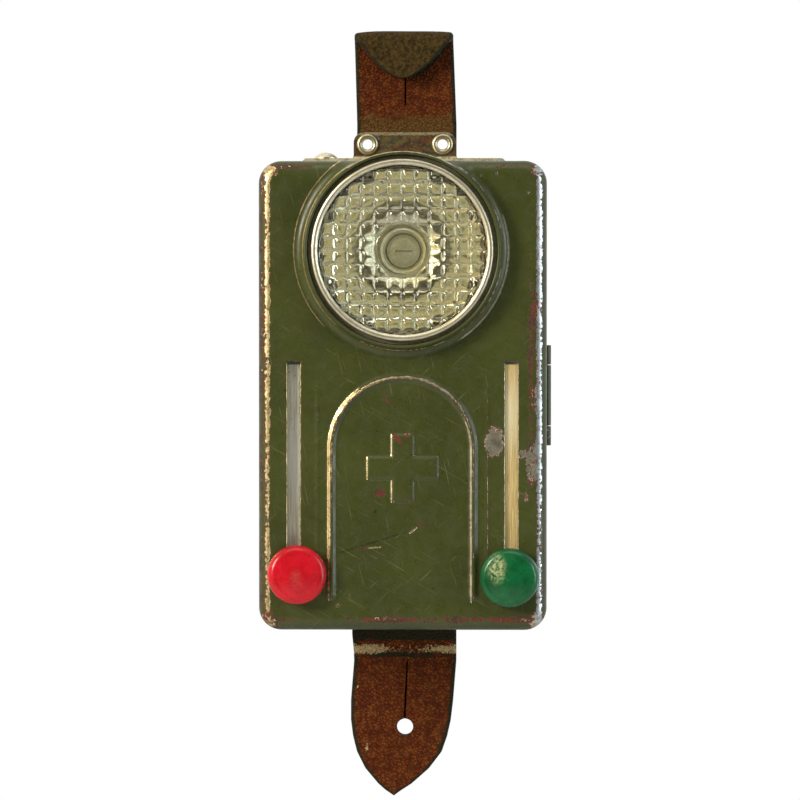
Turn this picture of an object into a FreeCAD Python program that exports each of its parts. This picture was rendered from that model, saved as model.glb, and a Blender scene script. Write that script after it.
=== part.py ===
import FreeCAD, Part
import math
import os
from FreeCAD import Vector

# Morse signal lamp in millimetres.
# The origin is midway between the two strap eyelets, +Z is up and the lens looks along -Y.

# Battery, which the case is built round
battery_width = 62.0
battery_height = 67.0
battery_depth = 22.0
battery_edge_r = 5.0
battery_bevel = 1.5
battery_gap = 0.3
battery_back_gap = 0.2
battery_side_gap = 3.4

# Case
head_room = 45.5
sheet = 0.6
corner_r = 5.5
edge_r = 3.0
skirt_depth = 9.0
parting_gap = 0.15
rim_length = 4.4
rim_clearance = 0.3
eyelet_rise = 5.4
lens_drop = 21.7

# Collar and lens
collar_r = 23.8
collar_wall = 0.8
collar_height = 4.0
collar_lip = 0.35
flare = 2.5
flare_steps = 3
bezel_side_gap = 0.8
bezel_lip = 1.7
bezel_height = 3.5
bezel_wall = 0.5
bezel_foot_gap = 0.1
bezel_round = 0.25
seat_width = 1.6
glass_thickness = 2.4
glass_plain_r = 6.5
glass_play = 0.05
gasket_thickness = 0.5

# Slots, knobs and filters
slot_inset = 8.6
slot_width = 3.15
slot_corner_r = 0.4
slot_top_drop = 26.9
knob_rise = 13.2
stem_side_play = 0.275
stem_height = 8.0
stem_play = 0.35
stem_top_play = 0.7
knob_r = 7.15
knob_height = 4.5
knob_crown = 0.55
knob_rim = 1.1
knob_rim_steps = 3
knob_chamfer = 0.45
knob_gap = 0.95
knob_lean = 5.0
spigot_r = 1.25
spigot_length = 2.4
spigot_play = 0.03
frame_sheet = 0.5
film_thickness = 0.3
frame_clearance = 0.3
frame_ring = 1.1
film_lap = 0.7
frame_foot = 6.0
frame_far_inset = 1.6
rail_out = 2.5
rail_in = 2.3
rail_top = 19.8
slide_gap = 0.2

# Guides behind the cover face
guide_sheet = 0.5
guide_horn = 14.0
guide_foot_play = 0.6
guide_rib_width = 0.5

# Arch rib and cross on the cover face
arch_r = 17.2
arch_drop = 48.1
arch_foot_rise = 7.4
rib_width = 2.3
rib_top_width = 1.0
rib_height = 0.8
cross_drop = 52.8
cross_width = 17.7
cross_height = 16.8
cross_arm = 5.8
cross_rise = 0.55
cross_bevel = 0.4
face_root = 0.3

# Hinge on the right side
hinge_out = 0.15
hinge_length = 24.5
end_knuckle = 4.7
knuckle_wall = 0.5
pin_r = 0.5
pin_play = 0.03
knuckle_gap = 0.2
notch_gap = 0.3
web_reach = 1.4
web_start = 0.6

# Strap bracket and eyelets on top
bracket_inset = 9.5
bracket_length = 18.4
bracket_gauge = 1.2
bracket_bevel = 1.1
bracket_plan_r = 3.0
tongue_gauge = 0.8
tongue_width = 25.7
tongue_top = 3.0
tongue_corner_r = 2.6
tongue_foot_r = 1.6
eyelet_spacing = 18.8
eyelet_bore_r = 1.3
eyelet_tube = 0.45
eyelet_flange = 0.95
eyelet_roll = 0.7
eyelet_mouth = 0.35
bracket_rivet_r = 1.1
rivet_head_r = 1.9
rivet_head = 0.7
rivet_inset = 4.5
rivet_front_reach = 14.5
rivet_back_reach = 5.0
rivet_left_x = -8.5

# Leather strap
strap_thickness = 2.2
strap_width = 25.6
fold_top = 28.7
fold_inner_r = 0.8
flap_tip = 16.5
flap_mid_x = 8.6
flap_mid_drop = 5.4
tab_tip = 163.6
tab_tip_x = -2.8
tab_tip_r = 1.2
tab_tip_rise = 0.6
tab_right_start = 141.2
tab_right_mid = (9.8, 152.4)
tab_left_start = 145.5
tab_left_mid = (10.9, 155.2)
buttonhole_r = 2.05
buttonhole_drop = 146.2
slit_width = 0.5
slit_start = 129.4
top_slit_end = 8.4

# Reflector, bulb and socket, with depths from the rim's front and from the reflector's apex
carrier_sheet = 0.5
carrier_set_back = 0.4
carrier_drop = 23.2
reflector_r = 19.5
reflector_lip = 0.4
reflector_sheet = 0.4
reflector_bowl = 12.8
reflector_neck = 3.6
reflector_steps = 4
socket_wall = 0.5
socket_front = 2.6
socket_length = 9.8
thread_play = 0.15
solder_gap = 0.05
bulb_r = 5.4
bulb_wall = 0.5
bulb_steps = 4
bulb_neck_step = 0.55
bulb_base_r = 4.75
bulb_base_front = 2.0
bulb_base_length = 9.4
bulb_tip_length = 1.8
bulb_tip_r = 1.8
filament_half = 1.6
filament_wire_r = 0.15

# Contacts and the morse key
contact_sheet = 0.4
contact_width = 6.0
contact_gap = 0.3
contact_flap = 8.2
battery_tongue_inset = 17.0
tongue_start = 1.0
tongue_reach = 18.0
spring_room = 3.0
board_inset = 8.0
board_thickness = 1.5
board_top_drop = 4.7
board_bottom_drop = 22.0
board_rivet_r = 1.0
board_rivet_head = 0.6
board_rivets_at = [6.0, -19.0]
tip_spring_top = 3.0
tip_spring_foot = -8.0
tip_spring_low = -16.0
key_inset = 15.6
key_reach = 11.0
key_travel = 1.0
key_head_r = 2.75
key_head_side = 0.5
key_dome = 1.2
key_head_sink = 1.3
key_head_play = 0.1
key_stem_r = 1.2
key_play = 0.05
key_gap = 0.15
bush_wall = 0.95
bush_length = 3.2
bush_recess = 1.6
blade_drop = 4.45
blade_sheet = 0.3
blade_width = 7.0
blade_past_anvil = 1.5
blade_tail = 4.5
blade_seat_gap = 0.1
post_width = 5.5
post_sheet = 0.8
anvil_out = 3.1
anvil_r = 1.2
anvil_height = 0.6
anvil_gap = 0.12
anvil_arm_width = 4.0
anvil_tongue_in = 0.5

# Spring pieces for the cover
catch_length = 24.0
catch_sheet = 0.3
catch_nub_r = 0.8
catch_nub_out = 0.1
catch_hole_play = 0.2
catch_margin = 0.6
leaf_width = 10.0
leaf_length = 36.0
leaf_foot = 6.0
leaf_crown_gap = 0.3
leaf_rivet_r = 0.9
small_head_ratio = 1.65

# How far a cutter runs past the face that it opens, and how near counts as the same place
past = 1.0
near_enough = 0.01

# Places worked out from the sizes above
case_width = battery_width + 2 * (battery_side_gap + sheet)
case_height = battery_height + battery_gap + head_room + 2 * sheet
half_width = case_width / 2
rim_front = skirt_depth - rim_length
carrier_front = rim_front + carrier_set_back
reflector_mouth = carrier_front - reflector_lip
reflector_apex = reflector_mouth + reflector_bowl
bulb_base_start = reflector_apex - bulb_base_front
bulb_base_end = bulb_base_start + bulb_base_length
bulb_tip = bulb_base_end + bulb_tip_length
board_front = bulb_tip + contact_gap + spring_room
back_inside = board_front + board_thickness
case_depth = back_inside + sheet
face_y = tongue_gauge / 2 - case_depth
case_top = -eyelet_rise
case_bottom = case_top - case_height
case_middle = (case_top + case_bottom) / 2
inner_half = half_width - sheet
inner_top = case_top - sheet
inner_bottom = case_bottom + sheet
inner_edge = (edge_r - sheet) * (2 - math.sqrt(2))
rim_inset = sheet + rim_clearance
lens_z = case_top - lens_drop
knob_z = case_bottom + knob_rise
bezel_r = collar_r - collar_wall - bezel_side_gap
bezel_lip_r = bezel_r - bezel_lip
light_r = bezel_r - seat_width
slot_x = half_width - slot_inset
slot_top = lens_z - slot_top_drop
stem_width = slot_width - 2 * stem_side_play
slide_travel = slot_top - stem_top_play - knob_z - stem_height / 2
parked_z = lens_z - slide_travel
frame_rim_r = light_r - frame_clearance
window_r = frame_rim_r - frame_ring
film_r = window_r + film_lap
rail_outer = slot_x + rail_out
rail_inner = slot_x - rail_in
frame_far_side = rail_inner - frame_far_inset
guide_half_width = rail_outer + slide_gap + guide_sheet
guide_low = knob_z - frame_foot - guide_foot_play
green_plane = sheet + slide_gap
divider_plane = green_plane + frame_sheet + film_thickness + slide_gap
red_plane = divider_plane + film_thickness + slide_gap
guide_plane = red_plane + frame_sheet + film_thickness + slide_gap
knuckle_r = pin_r + knuckle_wall
hinge_x = half_width + hinge_out
bracket_half = half_width - bracket_inset
bracket_top = case_top + bracket_gauge
bracket_front = case_depth - bracket_length
rivet_x = bracket_half - rivet_inset
rivet_back = case_depth - rivet_back_reach
rivet_front = case_depth - rivet_front_reach
bracket_rivets_at = [(rivet_x, rivet_front), (rivet_x, rivet_back), (rivet_left_x, rivet_back)]
eyelet_places = [-eyelet_spacing / 2, eyelet_spacing / 2]
eyelet_tube_r = eyelet_bore_r + eyelet_tube
eyelet_flange_r = eyelet_tube_r + eyelet_flange
tongue_front = case_depth - tongue_gauge
strap_back = case_depth + strap_thickness
socket_inner_r = bulb_base_r + thread_play
bulb_neck_r = bulb_base_r - bulb_neck_step
filament_depth = reflector_apex - reflector_r ** 2 / (4 * reflector_bowl)
battery_low = inner_bottom + battery_gap
battery_top = battery_low + battery_height
battery_front = back_inside - battery_back_gap - battery_depth
key_x = key_inset - half_width
key_depth = case_depth - key_reach
anvil_x = key_x - anvil_out
tongue_left_x = anvil_x + anvil_tongue_in
tongue_right_x = battery_width / 2 - battery_tongue_inset
blade_top = case_top - blade_drop
bush_r = key_head_r + bush_wall
catch_y = face_y + (rim_front + skirt_depth) / 2
catch_nubs = [case_middle - catch_length / 4, case_middle + catch_length / 4]
leaf_z = battery_low + battery_height / 2
leaf_rivets_at = [leaf_z - (leaf_length - leaf_foot) / 2, leaf_z + (leaf_length - leaf_foot) / 2]


def y_at(depth):
    """The Y of a plane that lies this far behind the cover's front face."""
    return face_y + depth


def block(x0, x1, d0, d1, z0, z1):
    """A box between two X, two depths behind the cover face and two Z."""
    return Part.makeBox(x1 - x0, d1 - d0, z1 - z0, Vector(x0, y_at(d0), z0))


def rod_y(x, z, r, d0, d1):
    """A round rod along Y between two depths."""
    return Part.makeCylinder(r, d1 - d0, Vector(x, y_at(d0), z), Vector(0, 1, 0))


def rod_z(x, d, r, z0, z1):
    """A round rod along Z between two heights."""
    return Part.makeCylinder(r, z1 - z0, Vector(x, y_at(d), z0), Vector(0, 0, 1))


def join(shapes):
    """One clean solid from touching pieces."""
    body = shapes[0]
    for piece in shapes[1:]:
        body = body.fuse(piece)
    return body.removeSplitter()


def plate(half, z0, z1, d0, d1, r):
    """A rectangle with rounded corners, seen from the front, between two depths."""
    body = block(-half, half, d0, d1, z0, z1)
    corners = [e for e in body.Edges if e.BoundBox.YLength > (d1 - d0) * 0.99]
    return body.makeFillet(r, corners)


def rim_edges(body, depth):
    """The edges of a body's face at one depth."""
    y = y_at(depth)
    return [e for e in body.Edges
            if abs(e.BoundBox.YMin - y) < near_enough and abs(e.BoundBox.YMax - y) < near_enough]


def round_rim(body, depth, r):
    """Round the whole outline of a body's face at one depth."""
    return body.makeFillet(r, rim_edges(body, depth))


def bevel_rim(body, depth, size):
    """Bevel the whole outline of a body's face at one depth."""
    return body.makeChamfer(size, rim_edges(body, depth))


def turn_y(points, x, z):
    """Turn a closed outline of (radius, depth) points round a line along Y."""
    corners = [Vector(x + r, y_at(d), z) for r, d in points]
    face = Part.Face(Part.makePolygon(corners + corners[:1]))
    return face.revolve(Vector(x, 0, z), Vector(0, 1, 0), 360)


def bend(r, d, size, start, end, steps):
    """Points (radius, depth) on an arc about (r, d): 0 degrees points outwards and 90 to the back."""
    angles = [math.radians(start + (end - start) * i / steps) for i in range(steps + 1)]
    return [(r + size * math.cos(a), d + size * math.sin(a)) for a in angles]


def dome_sag(rim, crown):
    """How far a dome has fallen half way out to its rim."""
    ball = (rim ** 2 + crown ** 2) / (2 * crown)
    return ball - math.sqrt(ball ** 2 - rim ** 2 / 4)


def slot(x, z0, z1, d0, d1):
    """An upright slot with square ends and small corner radii."""
    r = slot_width / 2
    body = block(x - r, x + r, d0, d1, z0, z1)
    return body.makeFillet(slot_corner_r, [e for e in body.Edges if e.BoundBox.YLength > near_enough])


def round_bar(x, z0, z1, width, d0, d1):
    """An upright flat bar with round ends."""
    r = width / 2
    body = block(x - r, x + r, d0, d1, z0 + r, z1 - r)
    return join([body, rod_y(x, z0 + r, r, d0, d1), rod_y(x, z1 - r, r, d0, d1)])


def case_shell(inset, d0, d1):
    """The case's outline, drawn in by an inset, between two depths."""
    return plate(half_width - inset, case_bottom + inset, case_top - inset, d0, d1, corner_r - inset)


def knuckle(z0, z1, side):
    """One hinge knuckle with the web that joins it to the wall in front of or behind the pin."""
    barrel = rod_z(hinge_x, skirt_depth, knuckle_r, z0, z1)
    near = skirt_depth + side * web_start
    far = skirt_depth + side * web_reach
    web = block(inner_half, half_width, min(near, far), max(near, far), z0, z1)
    bore = rod_z(hinge_x, skirt_depth, pin_r + pin_play, z0 - knuckle_gap, z1 + knuckle_gap)
    return join([barrel, web]).cut(bore)


def hinge_notch(side):
    """The clearance that both walls leave round the barrel of the hinge."""
    half = hinge_length / 2 + notch_gap
    reach = skirt_depth + side * (knuckle_r + notch_gap)
    over = skirt_depth - side * (knuckle_r + notch_gap)
    x0 = hinge_x - knuckle_r - knuckle_gap
    return block(x0, hinge_x + knuckle_r, min(reach, over), max(reach, over),
                 case_middle - half, case_middle + half)


def arch_rib():
    """The raised bead: a half ring over two upright legs with tapered round feet."""
    foot = rib_width / 2
    crest = rib_top_width / 2
    arch_z = lens_z - arch_drop
    foot_z = case_bottom + arch_foot_rise + foot
    section = [(-foot, face_root), (-foot, 0), (-crest, -rib_height), (crest, -rib_height), (foot, 0),
               (foot, face_root)]
    ring = turn_y([(arch_r + across, depth) for across, depth in section], 0, arch_z)
    upper = block(-half_width, half_width, -case_depth, case_depth, arch_z, case_top)
    pieces = [ring.common(upper)]
    for side in (-1, 1):
        x = side * arch_r
        corners = [Vector(x + across, y_at(depth), foot_z) for across, depth in section]
        leg = Part.Face(Part.makePolygon(corners + corners[:1])).extrude(Vector(0, 0, arch_z - foot_z))
        toe = Part.makeCone(foot, crest, rib_height, Vector(x, y_at(0), foot_z), Vector(0, -1, 0))
        pieces += [leg, toe, rod_y(x, foot_z, foot, 0, face_root)]
    return join(pieces)


def cross():
    """The plain raised cross with bevelled edges."""
    z = lens_z - cross_drop
    arm = cross_arm / 2
    wide = block(-cross_width / 2, cross_width / 2, -cross_rise, face_root, z - arm, z + arm)
    tall = block(-arm, arm, -cross_rise, face_root, z - cross_height / 2, z + cross_height / 2)
    return bevel_rim(join([wide, tall]), -cross_rise, cross_bevel)


def collar():
    """The drawn ring round the lens, with a flare that runs out on the cover face."""
    lip = collar_r - collar_lip
    ring = turn_y([(0, edge_r), (0, -collar_height), (lip, -collar_height),
                   (collar_r, -collar_height + collar_lip), (collar_r, edge_r)], 0, lens_z)
    run_out = bend(collar_r + flare, -flare, flare, 180, 90, flare_steps)
    skirt = turn_y([(0, edge_r), (0, -flare)] + run_out + [(collar_r + flare, edge_r)], 0, lens_z)
    face = plate(half_width, case_bottom, case_top, -collar_height, edge_r, corner_r)
    return join([ring, skirt.common(face)])


def front_cover():
    """The drawn cover: face, skirt, collar, arch rib, cross, slots and its two hinge knuckles."""
    outer = round_rim(case_shell(0, 0, skirt_depth - parting_gap), 0, edge_r)
    body = join([outer, collar()])
    body = body.cut(bevel_rim(case_shell(sheet, sheet, case_depth), sheet, inner_edge))
    body = body.cut(rod_y(0, lens_z, light_r, -collar_height, edge_r))
    body = body.cut(rod_y(0, lens_z, collar_r - collar_wall, -collar_height * 2, 0))
    body = join([body, arch_rib(), cross()])
    low = knob_z - stem_height / 2 - stem_play
    for x in (-slot_x, slot_x):
        body = body.cut(slot(x, low, slot_top, -past, sheet + past))
    body = body.cut(hinge_notch(-1))
    half = hinge_length / 2
    low_knuckle = knuckle(case_middle - half, case_middle - half + end_knuckle, -1)
    high_knuckle = knuckle(case_middle + half - end_knuckle, case_middle + half, -1)
    return join([body, low_knuckle, high_knuckle])


def back_case():
    """The deep drawn case with a joggled rim that enters the cover's skirt."""
    step = rim_inset + sheet
    joggle = skirt_depth + sheet
    outer = round_rim(case_shell(0, skirt_depth, case_depth), case_depth, edge_r)
    body = join([outer, case_shell(rim_inset, rim_front, joggle)])
    body = body.cut(case_shell(step, rim_front - past, joggle))
    body = body.cut(bevel_rim(case_shell(sheet, joggle, back_inside), back_inside, inner_edge))
    body = body.cut(hinge_notch(1))
    half = hinge_length / 2 - end_knuckle - knuckle_gap
    body = join([body, knuckle(case_middle - half, case_middle + half, 1)])
    body = body.cut(rod_z(key_x, key_depth, key_head_r + key_head_play, inner_top - past, case_top + past))
    for x, d in bracket_rivets_at:
        body = body.cut(rod_z(x, d, bracket_rivet_r, inner_top - past, case_top + past))
    for z in board_rivets_at:
        body = body.cut(rod_y(0, lens_z + z, board_rivet_r, back_inside - past, case_depth + past))
    rim = case_shell(0, rim_front, skirt_depth - parting_gap)
    for z in catch_nubs:
        hole = Part.makeCylinder(catch_nub_r + catch_hole_play, half_width / 2,
                                 Vector(-half_width, catch_y, z), Vector(1, 0, 0))
        body = body.cut(hole.common(rim))
    return body


def hinge_pin():
    """The wire pin through all three knuckles."""
    half = hinge_length / 2 - knuckle_gap
    return rod_z(hinge_x, skirt_depth, pin_r, case_middle - half, case_middle + half)


def catch_spring():
    """The spring strip inside the left rim, whose nubs rub on the cover's skirt."""
    seat = -half_width + rim_inset + sheet
    half = catch_length / 2
    pieces = [block(seat, seat + catch_sheet, rim_front + catch_margin, skirt_depth - catch_margin,
                    case_middle - half, case_middle + half)]
    start = seat - sheet - catch_nub_out
    for z in catch_nubs:
        pieces.append(Part.makeCylinder(catch_nub_r, sheet + catch_nub_out, Vector(start, catch_y, z),
                                        Vector(1, 0, 0)))
    return join(pieces)


def lens_bezel():
    """The nickel ring that holds the glass, with a bevelled front and a foot on the collar's floor."""
    foot_r = collar_r - collar_wall - bezel_foot_gap
    inner = bezel_r - bezel_wall
    front = -bezel_height
    return turn_y([(foot_r, 0), (foot_r, -bezel_wall), (bezel_r, -bezel_wall), (bezel_r, front + bezel_wall),
                   (bezel_r - bezel_wall, front), (bezel_lip_r, front + bezel_round),
                   (bezel_lip_r, front + bezel_wall), (inner, front + bezel_wall + bezel_round), (inner, 0)],
                  0, lens_z)


def lens_glass():
    """The round front glass: flat behind, a plain disc in the middle and a field that falls to the lip."""
    back = -gasket_thickness
    front = back - glass_thickness
    r = bezel_r - bezel_wall - glass_play
    lip = bezel_lip_r - glass_play
    land = -bezel_height + bezel_wall + bezel_round + glass_play
    outline = [(0, front), (glass_plain_r, front), (lip, land), (r, land), (r, back), (0, back)]
    return turn_y(outline, 0, lens_z)


def lens_gasket():
    """The cork ring between the glass and the collar's floor."""
    outer = rod_y(0, lens_z, bezel_r - bezel_wall - glass_play, -gasket_thickness, 0)
    return outer.cut(rod_y(0, lens_z, light_r, -gasket_thickness, 0))


def guide_window(d0, d1):
    """The light window that all guide sheets leave open."""
    return rod_y(0, lens_z, frame_rim_r, d0, d1)


def filter_guide():
    """The pan behind the filters: a back sheet and two side walls on the cover's inside."""
    back = guide_plane + guide_sheet
    high = lens_z + guide_horn
    pieces = [block(-guide_half_width, guide_half_width, guide_plane, back, guide_low, high)]
    for side in (-1, 1):
        x0, x1 = sorted([side * guide_half_width, side * (guide_half_width - guide_sheet)])
        pieces.append(block(x0, x1, sheet, guide_plane, guide_low, high))
    pan = join(pieces).cut(guide_window(sheet, back))
    for z in leaf_rivets_at:
        pan = pan.cut(rod_y(0, z, leaf_rivet_r, guide_plane, back))
    return pan


def filter_divider():
    """The sheet between the two filters, with a rib that guides each frame's free edge."""
    half = guide_half_width - guide_sheet
    back = divider_plane + film_thickness
    body = block(-half, half, divider_plane, back, guide_low, lens_z + guide_horn)
    body = body.cut(guide_window(divider_plane, back))
    stem_way = block(-half, -rail_inner, divider_plane, back, knob_z - stem_height, slot_top + slide_gap)
    body = body.cut(stem_way)
    near = frame_far_side + slide_gap
    far = near + guide_rib_width
    top = lens_z - frame_rim_r - guide_rib_width
    front_rib = block(-far, -near, green_plane, divider_plane, guide_low, top)
    back_rib = block(near, far, back, red_plane + frame_sheet, guide_low, top)
    return join([body, front_rib, back_rib])


def battery_leaf():
    """The bowed leaf on the guide pan that keeps the battery back when the cover is shut."""
    start = guide_plane + guide_sheet
    crown = battery_front - leaf_crown_gap
    half = leaf_length / 2
    bow = half - leaf_foot
    outer = Part.Arc(Vector(0, y_at(start + contact_sheet), leaf_z - bow), Vector(0, y_at(crown), leaf_z),
                     Vector(0, y_at(start + contact_sheet), leaf_z + bow)).toShape()
    inner = Part.Arc(Vector(0, y_at(start), leaf_z + bow), Vector(0, y_at(crown - contact_sheet), leaf_z),
                     Vector(0, y_at(start), leaf_z - bow)).toShape()
    ends = [Part.makeLine(outer.Vertexes[1].Point, inner.Vertexes[0].Point),
            Part.makeLine(inner.Vertexes[1].Point, outer.Vertexes[0].Point)]
    bowed = Part.Face(Part.Wire([outer, ends[0], inner, ends[1]])).extrude(Vector(leaf_width, 0, 0))
    bowed.translate(Vector(-leaf_width / 2, 0, 0))
    pieces = [bowed]
    for side in (-1, 1):
        z0, z1 = sorted([leaf_z + side * bow, leaf_z + side * half])
        pieces.append(block(-leaf_width / 2, leaf_width / 2, start, start + contact_sheet, z0, z1))
    leaf = join(pieces)
    for height in leaf_rivets_at:
        leaf = leaf.cut(rod_y(0, height, leaf_rivet_r, start - past, start + contact_sheet + past))
    return leaf


def leaf_rivets():
    """The two rivets of the battery leaf."""
    back = guide_plane + guide_sheet + contact_sheet
    rivets = []
    for z in leaf_rivets_at:
        shank = rod_y(0, z, leaf_rivet_r, guide_plane, back)
        head = rod_y(0, z, leaf_rivet_r * small_head_ratio, back, back + contact_sheet)
        rivets.append(join([shank, head]))
    return Part.makeCompound(rivets)


def filter_frame(side, plane):
    """A sliding frame: round window, plate below it and the rail that shows through the slot."""
    back = plane + frame_sheet
    low = knob_z - frame_foot
    ring = rod_y(0, parked_z, frame_rim_r, plane, back)
    outer = side * rail_outer
    inner = side * rail_inner
    far = -side * frame_far_side
    apron = block(min(outer, far), max(outer, far), plane, back, low, parked_z)
    rail = block(min(outer, inner), max(outer, inner), plane, back, parked_z, parked_z + rail_top)
    arm = block(min(inner, 0), max(inner, 0), plane, back, parked_z, parked_z + frame_foot)
    return join([apron, rail, arm, ring]).cut(rod_y(0, parked_z, window_r, plane, back))


def filter_film(plane):
    """The coloured film behind a frame's window."""
    back = plane + frame_sheet
    return rod_y(0, parked_z, film_r, back, back + film_thickness)


def knob_stem(side, plane):
    """The flat neck that runs in the slot, with a round spigot in the knob."""
    x = side * slot_x
    neck_front = -knob_gap + slide_gap
    half = stem_height / 2
    neck = round_bar(x, knob_z - half, knob_z + half, stem_width, neck_front, plane)
    spigot = rod_y(x, knob_z, spigot_r, -knob_gap - spigot_length, plane)
    return join([neck, spigot])


def knob(side):
    """The round push knob: straight side, rounded rim and gently domed face, leaning to the middle."""
    x = side * slot_x
    rim = knob_r - knob_rim
    shoulder = knob_height - knob_crown - knob_rim
    crown = [(rim / 2, dome_sag(rim, knob_crown) - knob_height), (0, -knob_height)]
    outline = [(0, 0), (knob_r - knob_chamfer, 0), (knob_r, -knob_chamfer)]
    outline += bend(rim, -shoulder, knob_rim, 0, -90, knob_rim_steps)
    body = turn_y(outline + crown, x, knob_z)
    body.translate(Vector(0, -knob_gap, 0))
    body.rotate(Vector(x, y_at(-knob_gap), knob_z), Vector(0, 0, 1), -side * knob_lean)
    hole = rod_y(x, knob_z, spigot_r + spigot_play, -knob_gap - spigot_length - spigot_play, sheet)
    return body.cut(hole)


def tongue_flare(side):
    """The hollow corner where the tongue runs out into the base, on one side."""
    edge = side * tongue_width / 2
    out = side * (tongue_width / 2 + tongue_foot_r)
    high = bracket_top + tongue_foot_r
    corner = block(min(edge, out), max(edge, out), tongue_front, case_depth, bracket_top, high)
    return corner.cut(rod_y(out, high, tongue_foot_r, tongue_front, case_depth))


def strap_bracket():
    """The folded bracket: a base plate riveted on the case and an upright tongue at its back."""
    base = block(-bracket_half, bracket_half, bracket_front, case_depth, case_top, bracket_top)
    front_y = y_at(bracket_front)
    upright = [e for e in base.Edges
               if e.BoundBox.ZLength > near_enough and e.BoundBox.YMax < front_y + near_enough]
    base = base.makeFillet(bracket_plan_r, upright)
    ends = [e for e in base.Edges
            if e.BoundBox.ZMin > bracket_top - near_enough and e.BoundBox.XLength < near_enough]
    base = base.makeChamfer(bracket_bevel, ends)
    wide = tongue_width / 2
    tongue = block(-wide, wide, tongue_front, case_depth, case_top, tongue_top)
    corners = [e for e in tongue.Edges
               if e.BoundBox.YLength > near_enough and e.BoundBox.ZMin > tongue_top - near_enough]
    tongue = tongue.makeFillet(tongue_corner_r, corners)
    fold_depth = tongue_front - tongue_foot_r
    fold_z = bracket_top + tongue_foot_r
    foot = block(-wide, wide, fold_depth, tongue_front, bracket_top, fold_z)
    fold_start = Vector(-wide, y_at(fold_depth), fold_z)
    fold = Part.makeCylinder(tongue_foot_r, tongue_width, fold_start, Vector(1, 0, 0))
    body = join([base, tongue, foot.cut(fold), tongue_flare(-1), tongue_flare(1)])
    body = body.cut(rod_z(key_x, key_depth, key_head_r + key_head_play, case_top - past, bracket_top + past))
    for x, d in bracket_rivets_at:
        body = body.cut(rod_z(x, d, bracket_rivet_r, case_top - past, bracket_top + past))
    for x in eyelet_places:
        body = body.cut(rod_y(x, 0, eyelet_tube_r, tongue_front - past, case_depth + past))
    return body


def bracket_rivets():
    """The three rivets that hold the bracket, flush outside and headed inside."""
    rivets = []
    for x, d in bracket_rivets_at:
        shank = rod_z(x, d, bracket_rivet_r, inner_top, bracket_top)
        head = rod_z(x, d, rivet_head_r, inner_top - rivet_head, inner_top)
        rivets.append(join([shank, head]))
    return Part.makeCompound(rivets)


def strap_eyelets():
    """Two rolled eyelets that clamp the leather to the tongue."""
    crest_r = (eyelet_bore_r + eyelet_flange_r) / 2
    back = strap_back
    front = tongue_front
    outline = [(eyelet_bore_r, back + eyelet_mouth), (crest_r, back + eyelet_roll), (eyelet_flange_r, back),
               (eyelet_tube_r, back), (eyelet_tube_r, front), (eyelet_flange_r, front),
               (crest_r, front - eyelet_roll), (eyelet_bore_r, front - eyelet_mouth)]
    return Part.makeCompound([turn_y(outline, x, 0) for x in eyelet_places])


def line_or_arc(points):
    """A closed wire through (x, z) points at Y 0, where a middle point makes an arc."""
    edges = []
    for i, point in enumerate(points):
        nxt = points[(i + 1) % len(points)]
        start = Vector(point[0], 0, point[1])
        end = Vector(nxt[0], 0, nxt[1])
        if len(point) == 4:
            edges.append(Part.Arc(start, Vector(point[2], 0, point[3]), end).toShape())
        else:
            edges.append(Part.LineSegment(start, end).toShape())
    return Part.Wire(edges)


def leather_strap():
    """The strap behind the case: a pointed buttonhole tab below and one folded forward on top."""
    half = strap_width / 2
    outer_r = fold_inner_r + strap_thickness
    bend_z = fold_top - outer_r
    tip_z = -tab_tip
    shoulder = tip_z + tab_tip_rise
    run = line_or_arc([(-half, bend_z), (half, bend_z),
                       (half, -tab_right_start, tab_right_mid[0], -tab_right_mid[1]),
                       (tab_tip_x + tab_tip_r, shoulder, tab_tip_x, tip_z),
                       (tab_tip_x - tab_tip_r, shoulder, -tab_left_mid[0], -tab_left_mid[1]),
                       (-half, -tab_left_start)])
    run = Part.Face(run).extrude(Vector(0, strap_thickness, 0))
    run.translate(Vector(0, y_at(case_depth), 0))
    mid_z = bend_z - flap_mid_drop
    flap = line_or_arc([(-half, bend_z), (half, bend_z, flap_mid_x, mid_z),
                        (0, flap_tip, -flap_mid_x, mid_z)])
    flap = Part.Face(flap).extrude(Vector(0, strap_thickness, 0))
    flap_d = case_depth - fold_inner_r * 2 - strap_thickness
    flap.translate(Vector(0, y_at(flap_d), 0))
    centre = Vector(-half, y_at(case_depth - fold_inner_r), bend_z)
    along = Vector(1, 0, 0)
    fold = Part.makeCylinder(outer_r, strap_width, centre, along)
    fold = fold.cut(Part.makeCylinder(fold_inner_r, strap_width, centre, along))
    fold = fold.common(block(-half, half, flap_d, strap_back, bend_z, fold_top))
    body = join([run, fold, flap])
    front = case_depth - fold_inner_r / 2
    back = strap_back + past
    for x in eyelet_places:
        body = body.cut(rod_y(x, 0, eyelet_tube_r, front, back))
    body = body.cut(rod_y(0, -buttonhole_drop, buttonhole_r, front, back))
    w = slit_width / 2
    body = body.cut(block(-w, w, front, back, -buttonhole_drop, -slit_start))
    return body.cut(block(-w, w, front, back, top_slit_end, bend_z))


def reflector_depth(r):
    """The depth of the reflector's bright face at one radius: a parabola through apex and mouth."""
    return reflector_apex - (reflector_apex - reflector_mouth) * (r / reflector_r) ** 2


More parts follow.
